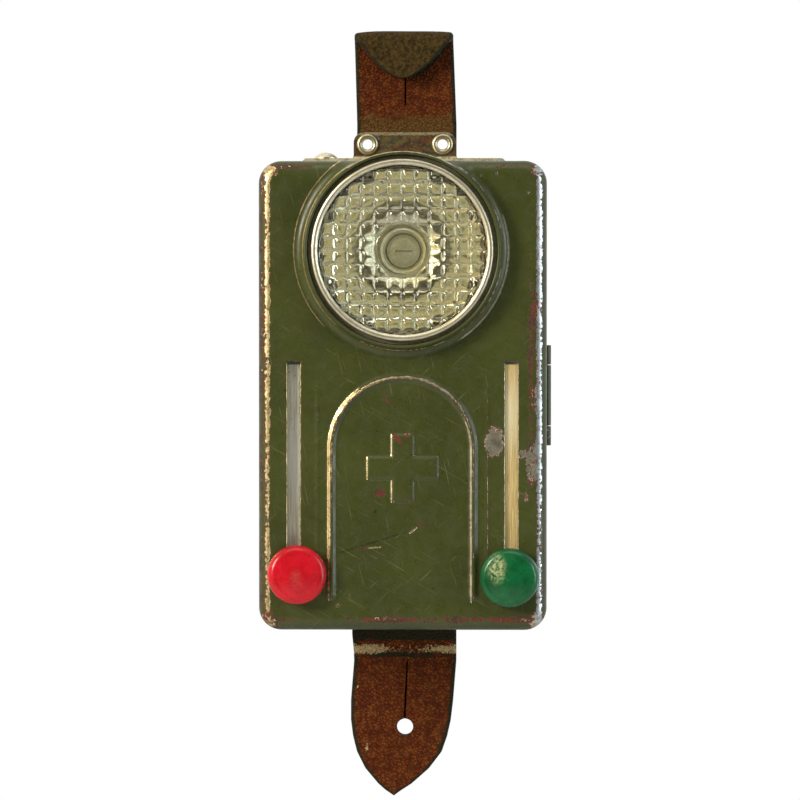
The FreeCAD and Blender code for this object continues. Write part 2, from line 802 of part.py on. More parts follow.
def reflector():
    """The polished bowl with a rolled lip and a neck for the socket."""
    neck = socket_inner_r + socket_wall + solder_gap
    t = reflector_sheet
    lip = reflector_r + reflector_lip
    foot = reflector_apex + reflector_neck
    rings = [neck + (reflector_r - t - neck) * i / reflector_steps for i in range(reflector_steps + 1)]
    bright = [(r, reflector_depth(r)) for r in rings]
    outer = [(r + t, reflector_depth(r) + t) for r in rings[:-1]]
    rolled = [(lip, bright[-1][1]), (lip, carrier_front), (reflector_r, carrier_front)]
    return turn_y([(neck, foot)] + bright + rolled + outer[::-1] + [(neck + t, foot)], 0, lens_z)


def reflector_carrier():
    """The sheet that seats the reflector in the case's rim, with a flange and a shelf over the battery."""
    inset = rim_inset + sheet
    back = skirt_depth + sheet
    low = lens_z - carrier_drop
    body = case_shell(inset, carrier_front, back)
    body = body.cut(case_shell(inset + carrier_sheet, carrier_front + carrier_sheet, back + past))
    body = body.cut(block(-half_width, half_width, carrier_front - past, back + past, case_bottom, low))
    shelf_half = half_width - inset
    shelf = block(-shelf_half, shelf_half, carrier_front, back, low, low + carrier_sheet)
    hole = rod_y(0, lens_z, reflector_r, carrier_front - past, carrier_front + carrier_sheet)
    return join([body, shelf]).cut(hole)


def bulb_socket():
    """The screw sleeve soldered in the reflector's neck."""
    start = reflector_apex - socket_front
    end = start + socket_length
    outer = rod_y(0, lens_z, socket_inner_r + socket_wall, start, end)
    return outer.cut(rod_y(0, lens_z, socket_inner_r, start, end))


def bulb_glass():
    """The globe of the bulb, hollow and open into its base."""
    inner_r = bulb_r - bulb_wall
    inner_neck = bulb_neck_r - bulb_wall
    turn = math.degrees(math.acos(bulb_neck_r / bulb_r))
    inner_turn = math.degrees(math.acos(inner_neck / inner_r))
    outside = bend(0, filament_depth, bulb_r, -90, turn, bulb_steps)
    inside = bend(0, filament_depth, inner_r, inner_turn, -90, bulb_steps)
    foot = [(bulb_neck_r, bulb_base_start), (inner_neck, bulb_base_start)]
    return turn_y(outside + foot + inside, 0, lens_z)


def bulb_base():
    """The screw cap of the bulb with its solder tip."""
    half_tip = (bulb_tip + bulb_base_end) / 2
    return turn_y([(0, bulb_base_start), (bulb_base_r, bulb_base_start), (bulb_base_r, bulb_base_end),
                   (bulb_tip_r, half_tip), (bulb_tip_r, bulb_tip), (0, bulb_tip)], 0, lens_z)


def bulb_filament():
    """Two lead wires and the filament between them."""
    r = filament_wire_r
    pieces = []
    for side in (-1, 1):
        pieces.append(rod_y(side * filament_half, lens_z, r, filament_depth - r, bulb_base_start))
    span = filament_half + r
    start = Vector(-span, y_at(filament_depth), lens_z)
    pieces.append(Part.makeCylinder(r, span * 2, start, Vector(1, 0, 0)))
    return join(pieces)


def battery():
    """The flat three-cell battery, rounded at its sides and bevelled at its foot."""
    half = battery_width / 2
    body = block(-half, half, battery_front, battery_front + battery_depth, battery_low, battery_top)
    upright = [e for e in body.Edges if e.BoundBox.ZLength > near_enough]
    body = body.makeFillet(battery_edge_r, upright)
    base = [e for e in body.Edges if e.BoundBox.ZMax < battery_low + near_enough]
    return body.makeChamfer(battery_bevel, base)


def battery_tongues():
    """The two brass tongues folded over the battery's top."""
    start = battery_front + tongue_start
    half = contact_width / 2
    tongues = []
    for x in (tongue_left_x, tongue_right_x):
        riser = block(x - half, x + half, start, start + contact_sheet, battery_top,
                      battery_top + contact_gap + contact_sheet)
        flap = block(x - half, x + half, start, start + tongue_reach, battery_top + contact_gap,
                     battery_top + contact_gap + contact_sheet)
        tongues.append(join([riser, flap]))
    return Part.makeCompound(tongues)


def insulator_board():
    """The fibre board on the case's back wall that carries the contacts."""
    half = half_width - board_inset
    body = block(-half, half, board_front, back_inside, lens_z - board_bottom_drop, case_top - board_top_drop)
    for z in board_rivets_at:
        body = body.cut(rod_y(0, lens_z + z, board_rivet_r, board_front, back_inside))
    return body


def board_rivets():
    """The two rivets through the board and the back wall, flush under the strap."""
    rivets = []
    for z in board_rivets_at:
        shank = rod_y(0, lens_z + z, board_rivet_r, board_front, case_depth)
        head_r = board_rivet_r * small_head_ratio
        head = rod_y(0, lens_z + z, head_r, board_front - board_rivet_head, board_front)
        rivets.append(join([shank, head]))
    return Part.makeCompound(rivets)


def contact_foot(x, width, z_top):
    """A strip down the board whose lower end folds forward over a battery tongue."""
    half = width / 2
    touch = battery_top + contact_gap * 2 + contact_sheet
    strip = block(x - half, x + half, board_front - contact_sheet, board_front, touch, z_top)
    flap = block(x - half, x + half, board_front - contact_flap, board_front, touch, touch + contact_sheet)
    return [strip, flap]


def centre_contact():
    """The strip from the right battery tongue to the tip of the bulb."""
    half = contact_width / 2
    foot_z = lens_z + tip_spring_foot
    low_z = lens_z + tip_spring_low
    tip = bulb_tip + contact_gap
    pieces = contact_foot(tongue_right_x, contact_width, foot_z)
    right = tongue_right_x + half
    step = foot_z - contact_sheet
    pieces.append(block(-half, right, board_front - contact_sheet, board_front, low_z, foot_z))
    pieces.append(block(-half, half, tip, board_front, step, foot_z))
    pieces.append(block(-half, half, tip, tip + contact_sheet, step, lens_z + tip_spring_top))
    return join(pieces)


def key_contact():
    """The strip from the left battery tongue to the anvil under the key blade."""
    drop = key_travel * abs(anvil_x) / abs(key_x)
    top = blade_top - blade_sheet - drop - anvil_gap
    arm_top = top - anvil_height
    front = key_depth - blade_width / 2
    half = anvil_arm_width / 2
    pieces = contact_foot(anvil_x, anvil_arm_width, arm_top)
    pieces.append(block(anvil_x - half, anvil_x + half, front, board_front, arm_top - contact_sheet, arm_top))
    pieces.append(rod_z(anvil_x, key_depth, anvil_r, arm_top, top))
    return join(pieces)


def key_post():
    """The bracket on the board that carries the root of the key blade."""
    seat = blade_top - blade_sheet - blade_seat_gap
    front = key_depth - blade_width / 2
    arm = block(0, post_width, front, board_front, seat - post_sheet, seat)
    foot = block(0, post_width, board_front - post_sheet, board_front, seat - contact_width, seat)
    return join([arm, foot])


def key_blade():
    """The springy blade under the button, free at the left and carried at x = 0."""
    half = blade_width / 2
    tip = anvil_x - blade_past_anvil
    return block(tip, blade_tail, key_depth - half, key_depth + half, blade_top - blade_sheet, blade_top)


def button_bush():
    """The flanged guide of the button under the case top."""
    low = inner_top - bush_length
    body = rod_z(key_x, key_depth, bush_r, low, inner_top)
    body = body.cut(rod_z(key_x, key_depth, key_head_r + key_head_play, inner_top - bush_recess, inner_top))
    return body.cut(rod_z(key_x, key_depth, key_stem_r + key_play, low, inner_top))


def morse_button():
    """The nickel push button: domed head in the bracket's hole and a stem down to the blade."""
    low = bracket_top - key_head_sink
    rim_z = bracket_top + key_head_side
    half_r = key_head_r / 2
    fall = dome_sag(key_head_r, key_dome)
    up = Vector(0, 0, 1)
    side = rod_z(key_x, key_depth, key_head_r, low, rim_z)
    skirt = Part.makeCone(key_head_r, half_r, key_dome - fall, Vector(key_x, y_at(key_depth), rim_z), up)
    cap = Part.makeCone(half_r, 0, fall, Vector(key_x, y_at(key_depth), rim_z + key_dome - fall), up)
    stem = rod_z(key_x, key_depth, key_stem_r, blade_top + key_gap, low)
    return join([side, skirt, cap, stem])


def build():
    """Every sub-part by its node name."""
    return {
        "back_case": back_case(),
        "strap_bracket": strap_bracket(),
        "bracket_rivets": bracket_rivets(),
        "strap_eyelets": strap_eyelets(),
        "leather_strap": leather_strap(),
        "hinge_pin": hinge_pin(),
        "catch_spring": catch_spring(),
        "reflector_carrier": reflector_carrier(),
        "reflector": reflector(),
        "bulb_socket": bulb_socket(),
        "bulb_base": bulb_base(),
        "bulb_glass": bulb_glass(),
        "bulb_filament": bulb_filament(),
        "battery": battery(),
        "battery_tongues": battery_tongues(),
        "insulator_board": insulator_board(),
        "board_rivets": board_rivets(),
        "centre_contact": centre_contact(),
        "key_contact": key_contact(),
        "key_post": key_post(),
        "button_bush": button_bush(),
        "front_cover": front_cover(),
        "lens_bezel": lens_bezel(),
        "lens_glass": lens_glass(),
        "lens_gasket": lens_gasket(),
        "filter_guide": filter_guide(),
        "filter_divider": filter_divider(),
        "battery_leaf": battery_leaf(),
        "leaf_rivets": leaf_rivets(),
        "red_frame": filter_frame(-1, red_plane),
        "red_film": filter_film(red_plane),
        "red_stem": knob_stem(-1, red_plane),
        "red_knob": knob(-1),
        "green_frame": filter_frame(1, green_plane),
        "green_film": filter_film(green_plane),
        "green_stem": knob_stem(1, green_plane),
        "green_knob": knob(1),
        "morse_button": morse_button(),
        "key_blade": key_blade(),
    }


os.makedirs("parts", exist_ok=True)
for name, shape in build().items():
    shape.exportStep("parts/" + name + ".step")
    solids = len(shape.Solids)
    print(name, solids, "solids", round(shape.Volume, 2), "mm3", "valid" if shape.isValid() else "NOT VALID")
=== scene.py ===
import math

import bmesh
import bpy
import numpy as np
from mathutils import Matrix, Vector


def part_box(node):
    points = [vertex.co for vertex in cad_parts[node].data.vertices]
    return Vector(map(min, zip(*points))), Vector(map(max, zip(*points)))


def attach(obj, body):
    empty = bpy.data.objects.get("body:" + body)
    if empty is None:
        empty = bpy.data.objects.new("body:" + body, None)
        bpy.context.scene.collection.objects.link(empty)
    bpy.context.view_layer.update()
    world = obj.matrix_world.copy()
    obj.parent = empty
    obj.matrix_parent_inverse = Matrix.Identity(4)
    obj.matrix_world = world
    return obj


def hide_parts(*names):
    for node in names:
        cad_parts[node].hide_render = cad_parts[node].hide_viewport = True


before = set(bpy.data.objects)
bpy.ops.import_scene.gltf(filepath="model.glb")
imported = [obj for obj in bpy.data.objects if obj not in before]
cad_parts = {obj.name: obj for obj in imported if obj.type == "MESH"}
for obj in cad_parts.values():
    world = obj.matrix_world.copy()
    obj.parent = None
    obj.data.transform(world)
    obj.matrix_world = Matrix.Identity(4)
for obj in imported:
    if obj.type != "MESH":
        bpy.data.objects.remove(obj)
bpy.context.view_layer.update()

# Everything is in metres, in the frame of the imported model: +Z up, lens towards -Y.
MM = 0.001
case_low, case_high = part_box("back_case")
cover_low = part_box("front_cover")[0]
bezel_low, bezel_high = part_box("lens_bezel")
strap_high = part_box("leather_strap")[1]
button_low, button_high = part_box("morse_button")

# Places read from the frame
half_width = -case_low.x
case_top = case_high.z
case_bottom = case_low.z
case_middle = (case_top + case_bottom) / 2
lens_z = (bezel_low.z + bezel_high.z) / 2
collar_height = 4.0 * MM
face_y = cover_low.y + collar_height

# Sizes that the looks need beside the frame
sheet = 0.6 * MM
corner_r = 5.5 * MM
edge_r = 3.0 * MM
skirt_end = 8.85 * MM
collar_r = 23.8 * MM
collar_wall = 0.8 * MM
light_r = 20.6 * MM
flare_r = 26.3 * MM
slot_x = 26.4 * MM
slot_half = 1.575 * MM
slot_top = lens_z - 26.9 * MM
slot_low = case_bottom + 8.85 * MM
knob_z = case_bottom + 13.2 * MM
arch_r = 17.2 * MM
arch_z = lens_z - 48.1 * MM
arch_foot = case_bottom + 8.55 * MM
cross_z = lens_z - 52.8 * MM
hinge_x = 35.15 * MM
hinge_depth = 9.0 * MM
hinge_half = 12.25 * MM
lip_roll = 0.25 * MM
flare_end = 27.0 * MM
bowl_r, bowl_depth, bowl_mouth = 19.5 * MM, 12.8 * MM, 4.6 * MM
bowl_apex = bowl_mouth + bowl_depth
strap_back, strap_thick = 34.2 * MM, 2.2 * MM
eyelet_x = 9.4 * MM
tab_hole_z = -146.2 * MM


def smooth(t):
    """A soft step: 3 t squared minus 2 t cubed, with t held between 0 and 1."""
    t = np.clip(t, 0, 1)
    return t * t * (3 - 2 * t)


def arc(r, d, size, start, end, steps):
    """Points (radius, depth) on an arc about (r, d): 0 degrees points outwards and 90 to the back."""
    a = np.radians(np.linspace(start, end, steps + 1))
    return np.column_stack([r + size * np.cos(a), d + size * np.sin(a)])


def weave(rows, cols, wrap_rows=False, wrap_cols=False, start=0):
    """Quads over a grid of rows by cols points, joined round where a direction wraps."""
    i = np.arange(rows if wrap_rows else rows - 1)[:, None]
    j = np.arange(cols if wrap_cols else cols - 1)[None, :]
    i2, j2 = (i + 1) % rows, (j + 1) % cols
    quads = np.stack(np.broadcast_arrays(i * cols + j, i * cols + j2, i2 * cols + j2, i2 * cols + j), axis=-1)
    return quads.reshape(-1, 4) + start


def mark_points(mesh, name, values):
    """Gives each point of a mesh a named value."""
    mesh.attributes.new(name, "FLOAT", "POINT").data.foreach_set("value", values.astype(np.float32))


def placed(name, data, place=None, aim=None):
    """Links a new object to the scene; a camera or light also gets a place, and looks at its aim."""
    piece = bpy.data.objects.new(name, data)
    bpy.context.scene.collection.objects.link(piece)
    if place:
        piece.location = Vector(place)
        piece.rotation_euler = (Vector(aim) - piece.location).to_track_quat("-Z", "Y").to_euler()
    return piece


class Skin:
    """Collects point grids of one piece, with named values for their points, then makes its mesh object."""

    def __init__(self):
        self.points, self.quads, self.marks, self.count = [], [], [], 0

    def add(self, x, y, z, wrap_rows=False, wrap_cols=False, keep=None, **marks):
        """Adds a grid of points, leaving out quads where keep is false; marks are values for each point."""
        rows, cols = x.shape
        quads = weave(rows, cols, wrap_rows, wrap_cols, self.count)
        if keep is not None:
            quads = quads[keep.ravel()]
        self.points.append(np.column_stack([x.ravel(), y.ravel(), z.ravel()]))
        self.quads.append(quads)
        self.marks.append({key: np.broadcast_to(value, x.shape).ravel() for key, value in marks.items()})
        self.count += x.size
        return self

    def slab(self, x, front, back, z_front, z_back, keep, **marks):
        """Two sheets over one grid, joined by walls along every edge of the kept cells."""
        start, size = self.count, x.size
        self.add(x, front, z_front, keep=keep, **marks)
        self.add(x, back, z_back, keep=keep, **marks)
        quads = weave(*x.shape)[keep.ravel()]
        sides = np.concatenate([quads[:, [i, (i + 1) % 4]] for i in range(4)])
        code = np.sort(sides, axis=1) @ np.array([size, 1])
        _, first, times = np.unique(code, return_index=True, return_counts=True)
        rim = sides[first[times == 1]] + start
        self.quads.append(np.column_stack([rim[:, 0], rim[:, 1], rim[:, 1] + size, rim[:, 0] + size]))
        return self

    def make(self, name, material, body, slot, nodes=(), crease=35):
        """Merges doubles, turns the faces outwards, shades smooth up to an angle and rides on a body."""
        mesh = bpy.data.meshes.new(name)
        mesh.from_pydata(np.concatenate(self.points).tolist(), [], np.concatenate(self.quads).tolist())
        for key in sorted({key for marks in self.marks for key in marks}):
            values = [m.get(key, np.zeros(len(p))) for m, p in zip(self.marks, self.points)]
            mark_points(mesh, key, np.concatenate(values))
        bm = bmesh.new()
        bm.from_mesh(mesh)
        bmesh.ops.remove_doubles(bm, verts=bm.verts, dist=1e-6)
        bmesh.ops.dissolve_degenerate(bm, edges=bm.edges, dist=1e-7)
        bmesh.ops.recalc_face_normals(bm, faces=bm.faces)
        bm.to_mesh(mesh)
        bm.free()
        mesh.shade_smooth()
        mesh.set_sharp_from_angle(angle=math.radians(crease))
        mesh.materials.append(material)
        piece = placed(name, mesh)
        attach(piece, body)
        if nodes:
            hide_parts(*nodes)
        return piece


def turned(profile, centre, steps=128, axis="y", front=0.0):
    """A profile of (radius, depth) turned round a line: x and z go with the cosine and sine of the angle."""
    a = np.linspace(0, 2 * np.pi, steps, endpoint=False)[None, :]
    r, d = profile[:, :1], profile[:, 1:]
    across, up, along = r * np.cos(a), r * np.sin(a), d + 0 * a
    if axis == "y":
        return centre[0] + across, front + along, centre[1] + up
    return centre[0] + across, centre[1] + up, front + along


class Nodes:
    """Short calls that add nodes to one tree and link them."""

    def __init__(self, tree):
        self.tree = tree

    def add(self, kind, **settings):
        node = self.tree.nodes.new(kind)
        for key, value in settings.items():
            setattr(node, key, value)
        return node

    def put(self, socket, value):
        if isinstance(value, bpy.types.NodeSocket):
            self.tree.links.new(value, socket)
        elif isinstance(value, tuple) and len(value) == 3 and socket.type == "RGBA":
            socket.default_value = (*value, 1.0)
        else:
            socket.default_value = value

    def math(self, operation, a, b=0.0):
        node = self.add("ShaderNodeMath", operation=operation)
        self.put(node.inputs[0], a)
        self.put(node.inputs[1], b)
        return node.outputs[0]

    def span(self, value, low, high, to_low=0.0, to_high=1.0):
        """Maps low..high to to_low..to_high with soft ends."""
        node = self.add("ShaderNodeMapRange", interpolation_type="SMOOTHSTEP")
        for key, number in zip(("Value", "From Min", "From Max", "To Min", "To Max"),
                               (value, low, high, to_low, to_high)):
            self.put(node.inputs[key], number)
        return node.outputs[0]

    def mix(self, factor, a, b, kind="MIX"):
        node = self.add("ShaderNodeMix", data_type="RGBA", blend_type=kind)
        for number, value in ((0, factor), (6, a), (7, b)):
            self.put(node.inputs[number], value)
        return node.outputs[2]


class Finish(Nodes):
    """One procedural material, with its places in millimetres of object coordinates."""

    def __init__(self, name):
        self.material = bpy.data.materials.new(name)
        self.material.use_nodes = True
        super().__init__(self.material.node_tree)
        self.shader = self.tree.nodes["Principled BSDF"]
        coords = self.add("ShaderNodeTexCoord")
        self.mm = self.add("ShaderNodeMapping")
        self.put(self.mm.inputs["Scale"], (1 / MM, 1 / MM, 1 / MM))
        self.tree.links.new(coords.outputs["Object"], self.mm.inputs["Vector"])
        parts = self.add("ShaderNodeSeparateXYZ")
        self.tree.links.new(self.mm.outputs[0], parts.inputs[0])
        self.x, self.y, self.z = parts.outputs

    def plus(self, a, b):
        return self.math("ADD", a, b)

    def less(self, a, b):
        return self.math("SUBTRACT", a, b)

    def times(self, *values):
        out = values[0]
        for value in values[1:]:
            out = self.math("MULTIPLY", out, value)
        return out

    def sway(self, value, size):
        """A noise value made to swing about 0, times a size."""
        return self.times(self.less(value, 0.5), size)

    def most(self, *values):
        out = values[0]
        for value in values[1:]:
            out = self.math("MAXIMUM", out, value)
        return out

    def length(self, a, b):
        return self.math("SQRT", self.plus(self.times(a, a), self.times(b, b)))

    def stretch(self, size, turn=0.0):
        """Millimetre coordinates turned about the Y axis, then divided by a size along each axis."""
        node = self.add("ShaderNodeMapping", vector_type="TEXTURE")
        self.put(node.inputs["Vector"], self.mm.outputs[0])
        self.put(node.inputs["Scale"], size)
        self.put(node.inputs["Rotation"], (0.0, turn, 0.0))
        return node.outputs[0]

    def noise(self, size, detail=3.0, rough=0.55, where=None):
        node = self.add("ShaderNodeTexNoise")
        self.put(node.inputs["Vector"], where or self.mm.outputs[0])
        self.put(node.inputs["Scale"], 1 / size)
        self.put(node.inputs["Detail"], detail)
        self.put(node.inputs["Roughness"], rough)
        return node.outputs["Fac"]

    def cells(self, size, feature="F1", where=None):
        node = self.add("ShaderNodeTexVoronoi", feature=feature)
        self.put(node.inputs["Vector"], where or self.mm.outputs[0])
        self.put(node.inputs["Scale"], 1 / size)
        return node.outputs["Distance"]

    def hump(self, value, centre, width):
        """1 at the centre, 0 at width from it, with soft ends."""
        return self.span(self.math("ABSOLUTE", self.less(value, centre)), width, 0.0)

    def stroke(self, x0, z0, x1, z1, half):
        """A short line on the face: distance to the segment between two places, faded over its half width."""
        dx, dz = x1 - x0, z1 - z0
        size = dx * dx + dz * dz
        ax, az = self.less(self.x, x0), self.less(self.z, z0)
        t = self.times(self.plus(self.times(ax, dx), self.times(az, dz)), 1 / size)
        t = self.most(self.math("MINIMUM", t, 1.0), 0.0)
        away = self.length(self.less(ax, self.times(t, dx)), self.less(az, self.times(t, dz)))
        return self.span(away, half, half * 0.3)

    def strokes(self, *lines):
        """The strongest of several strokes."""
        return self.most(*[self.stroke(*line) for line in lines])

    def mark(self, name):
        node = self.add("ShaderNodeAttribute", attribute_name=name)
        return node.outputs["Fac"]

    def bump(self, height, strength=0.3, depth=0.1):
        node = self.add("ShaderNodeBump")
        self.put(node.inputs["Strength"], strength)
        self.put(node.inputs["Distance"], depth * MM)
        self.put(node.inputs["Height"], height)
        self.put(self.shader.inputs["Normal"], node.outputs[0])

    def set(self, **values):
        """Puts values on the shader's own sockets; an underscore stands for a space."""
        for key, value in values.items():
            self.put(self.shader.inputs[key.replace("_", " ")], value)
        return self.material


OLIVE = (0.055, 0.065, 0.0125)
OLIVE_DARK = (0.036, 0.043, 0.0080)
OLIVE_PALE = (0.125, 0.128, 0.040)


def worn_paint(name, front):
    """Semi-gloss olive paint that wears through red primer to steel, guided by marks on the front or by place; the
    bare steel carries a painted warm and cool tint, some bare marks on the front are painted highlights, and the grime
    mark also paints shade.
    """
    f = Finish(name)
    fine, mid, grit = f.noise(0.8, 5.0, 0.7), f.noise(4.2, 3.0, 0.6), f.noise(0.30, 2.0)
    ragged = f.plus(f.sway(fine, 1.05), f.sway(mid, 0.55))
    fray = f.sway(fine, 0.9)
    if front:
        bare_and_highlight_mark, primer_mark, chips, bright, dark = face_figures(f)
        wear, deep, grime = f.mark("wear"), f.mark("bare"), f.mark("grime")
    else:
        side = f.span(f.math("ABSOLUTE", f.x), 33.2, 34.8)
        ends = f.most(f.span(f.z, -117.4, -119.2), f.span(f.z, -7.2, -5.6))
        back = f.span(f.y, -1.8, 0.2)
        wear = f.times(f.most(f.times(side, f.most(ends, back)), f.times(ends, back)), 0.62)
        deep, grime = f.span(f.noise(9.0), 0.4, 0.6), f.times(back, 0.2)
    level = f.plus(wear, ragged)
    chip = f.span(level, 0.50, 0.54)
    bare = f.span(f.less(level, f.times(f.less(1.0, deep), 0.32)), 0.55, 0.60)
    speck = f.times(f.span(f.noise(1.6, 5.0, 0.75), 0.745, 0.77), f.span(mid, 0.42, 0.6))
    chip = f.most(chip, speck)
    if front:
        # Bare steel where the first face mark is high: worn places, and painted highlights on the flanks and arcs that
        # face the lamps.
        gloss = f.span(f.plus(bare_and_highlight_mark, fray), 0.42, 0.58)
        rub = f.span(f.plus(primer_mark, ragged), 0.50, 0.56)
        rub_bare = f.span(f.plus(primer_mark, ragged), 0.60, 0.66)
        red_chips = f.span(f.plus(chips, f.times(ragged, 1.5)), 0.62, 0.70)
        chip = f.most(chip, gloss, rub, red_chips)
        bare = f.most(bare, gloss, rub_bare, f.span(bright, 0.3, 0.5))
    hair = [f.span(f.noise(1.0, 2.0, 0.5, f.stretch(size, turn)), low, low + 0.03) for size, turn, low in
            (((14.0, 3.0, 0.28), 0.52, 0.70), ((9.0, 3.0, 0.25), -0.75, 0.71), ((12.0, 3.0, 0.30), 1.35, 0.71))]
    scratch = f.most(*hair)
    paint = f.mix(f.span(f.noise(17.0, 3.0), 0.32, 0.68, 0.35, 1.0), OLIVE_DARK, OLIVE)
    paint = f.mix(f.span(f.noise(0.7, 5.0, 0.8), 0.54, 0.72, 0.0, 0.42), paint, OLIVE_PALE)
    paint = f.mix(f.span(f.noise(0.5, 3.0, 0.8), 0.58, 0.66, 0.0, 0.55), paint, (0.018, 0.021, 0.006))
    paint = f.mix(f.times(scratch, 0.40), paint, (0.20, 0.19, 0.09))
    if front:
        paint = f.mix(f.times(dark, f.span(fine, 0.36, 0.56), 0.75), paint, (0.014, 0.012, 0.006))
    primer = f.mix(f.span(f.plus(f.times(grit, 0.5), f.times(mid, 0.5)), 0.42, 0.56),
                   (0.150, 0.021, 0.009), (0.045, 0.024, 0.011))
    # Painted reflection: bare steel and its stains run from warm gold on the left to grey on the right, with pale blue
    # along the right edge, standing for the warm left lamp and the cool right lamp.
    across = f.span(f.x, -14.0, 14.0)
    steel = f.mix(across, (0.74, 0.60, 0.34), (0.54, 0.49, 0.37))
    steel = f.mix(f.span(f.x, 31.8, 33.4), steel, (0.60, 0.64, 0.68))
    stain = f.mix(across, (0.26, 0.17, 0.065), (0.25, 0.23, 0.19))
    steel = f.mix(f.span(f.noise(1.3, 5.0, 0.8), 0.44, 0.62, 0.0, 0.85), steel, stain)
    colour = f.mix(bare, f.mix(chip, paint, primer), steel)
    # Darkens where the grime mark is high: painted shade in the collar's well, at the flare's foot below the lens and
    # on the wall of the light opening, and darker bands along the left and bottom edges; on the back case, darker
    # towards its back.
    colour = f.mix(f.times(grime, f.span(mid, 0.25, 0.6)), colour, (0.010, 0.010, 0.006))
    rough = f.plus(f.span(f.noise(2.6, 4.0), 0.3, 0.7, 0.27, 0.44), f.times(f.less(chip, bare), 0.25))
    height = f.less(f.times(f.noise(0.6, 2.0), 0.12), chip)
    height = f.less(f.less(height, f.times(bare, 0.5)), f.times(scratch, 0.22))
    f.bump(height, 0.55, 0.06)
    return f.set(Base_Color=colour, Roughness=rough, Metallic=f.times(bare, 0.85), Specular_IOR_Level=0.42)


def dull_metal(name, light, dark, rough_low, rough_high, tarnish=0.5):
    """Plated or plain metal: tarnish clouds, fine mottling and small pits."""
    f = Finish(name)
    cloud = f.span(f.noise(3.1, 4.0, 0.7), 0.46, 0.72, 0.0, tarnish)
    colour = f.mix(cloud, light, dark)
    mottle = f.noise(0.5, 3.0, 0.6)
    colour = f.mix(f.span(mottle, 0.35, 0.7, 0.0, 0.45), colour, dark)
    pits = f.span(f.noise(0.7, 3.0, 0.7), 0.66, 0.74)
    colour = f.mix(f.times(pits, 0.6), colour, tuple(0.35 * c for c in dark))
    f.bump(f.less(mottle, pits), 0.25, 0.03)
    return f.set(Base_Color=colour, Roughness=f.span(mottle, 0.2, 0.8, rough_low, rough_high), Metallic=1.0)


def bracket_metal():
    """Worn steel of the bracket: rust-brown and olive clouds, dark spots and bare pale metal low down, gathered along
    the top edge as a painted highlight.
    """
    f = Finish("bracket_worn_steel")
    fine, cloud = f.noise(1.2, 5.0, 0.72), f.noise(2.8, 4.0, 0.65)
    upright = f.span(f.z, -3.4, -2.4)
    pale = f.mix(f.span(fine, 0.42, 0.62), (0.46, 0.40, 0.25), (0.22, 0.19, 0.10))
    olive = f.mix(f.span(fine, 0.44, 0.58), (0.105, 0.078, 0.024), (0.034, 0.030, 0.010))
    rust = f.mix(f.span(fine, 0.44, 0.56), (0.105, 0.038, 0.009), (0.022, 0.011, 0.005))
    body = f.mix(f.span(cloud, 0.44, 0.56), olive, rust)
    # Painted highlight: pale rubbed metal gathers along the tongue's top edge.
    rubbed = f.span(f.plus(fine, f.times(f.span(f.z, 1.9, 2.9), 0.35)), 0.60, 0.70)
    rubbed = f.most(rubbed, f.span(f.plus(f.less(1.0, upright), f.sway(cloud, 1.2)), 0.55, 0.8))
    colour = f.mix(rubbed, body, pale)
    f.bump(f.plus(f.times(rubbed, -0.6), f.times(fine, 0.6)), 0.5, 0.08)
    return f.set(Base_Color=colour, Roughness=f.span(fine, 0.3, 0.7, 0.36, 0.6), Metallic=f.times(rubbed, 0.7))


def plastic(name, deep, bright, scuff, patch):
    """Glossy moulded plastic with a pale patch, fine scuffs and a few dark pits: the patch is thumb wear on the red
    knob and a painted highlight on the green one.
    """
    f = Finish(name)
    tone = f.mix(f.span(f.noise(5.0, 3.0), 0.35, 0.65), deep, bright)
    # The pale patch in the scuff colour: thumb wear in the middle of the red knob, a painted highlight on the left of
    # the green knob.
    px, pz, size, strength = patch
    away = f.length(f.less(f.x, px), f.times(f.less(f.z, pz), 0.62))
    worn = f.times(f.span(away, size, size * 0.25), f.span(f.noise(0.75, 4.0, 0.75), 0.40, 0.62), strength)
    hair = f.span(f.noise(1.0, 2.0, 0.5, f.stretch((3.2, 3.0, 0.22), 0.6)), 0.68, 0.72)
    pit = f.span(f.cells(2.6), 0.075, 0.045)
    colour = f.mix(f.most(worn, f.times(hair, 0.12)), tone, scuff)
    colour = f.mix(f.times(pit, 0.7), colour, tuple(0.2 * c for c in deep))
    f.bump(f.less(f.times(f.noise(2.4, 2.0), 0.5), pit), 0.25, 0.12)
    rough = f.plus(f.span(f.noise(1.2, 4.0), 0.3, 0.7, 0.20, 0.33), f.times(worn, 0.25))
    return f.set(Base_Color=colour, Roughness=rough, Specular_IOR_Level=0.40)


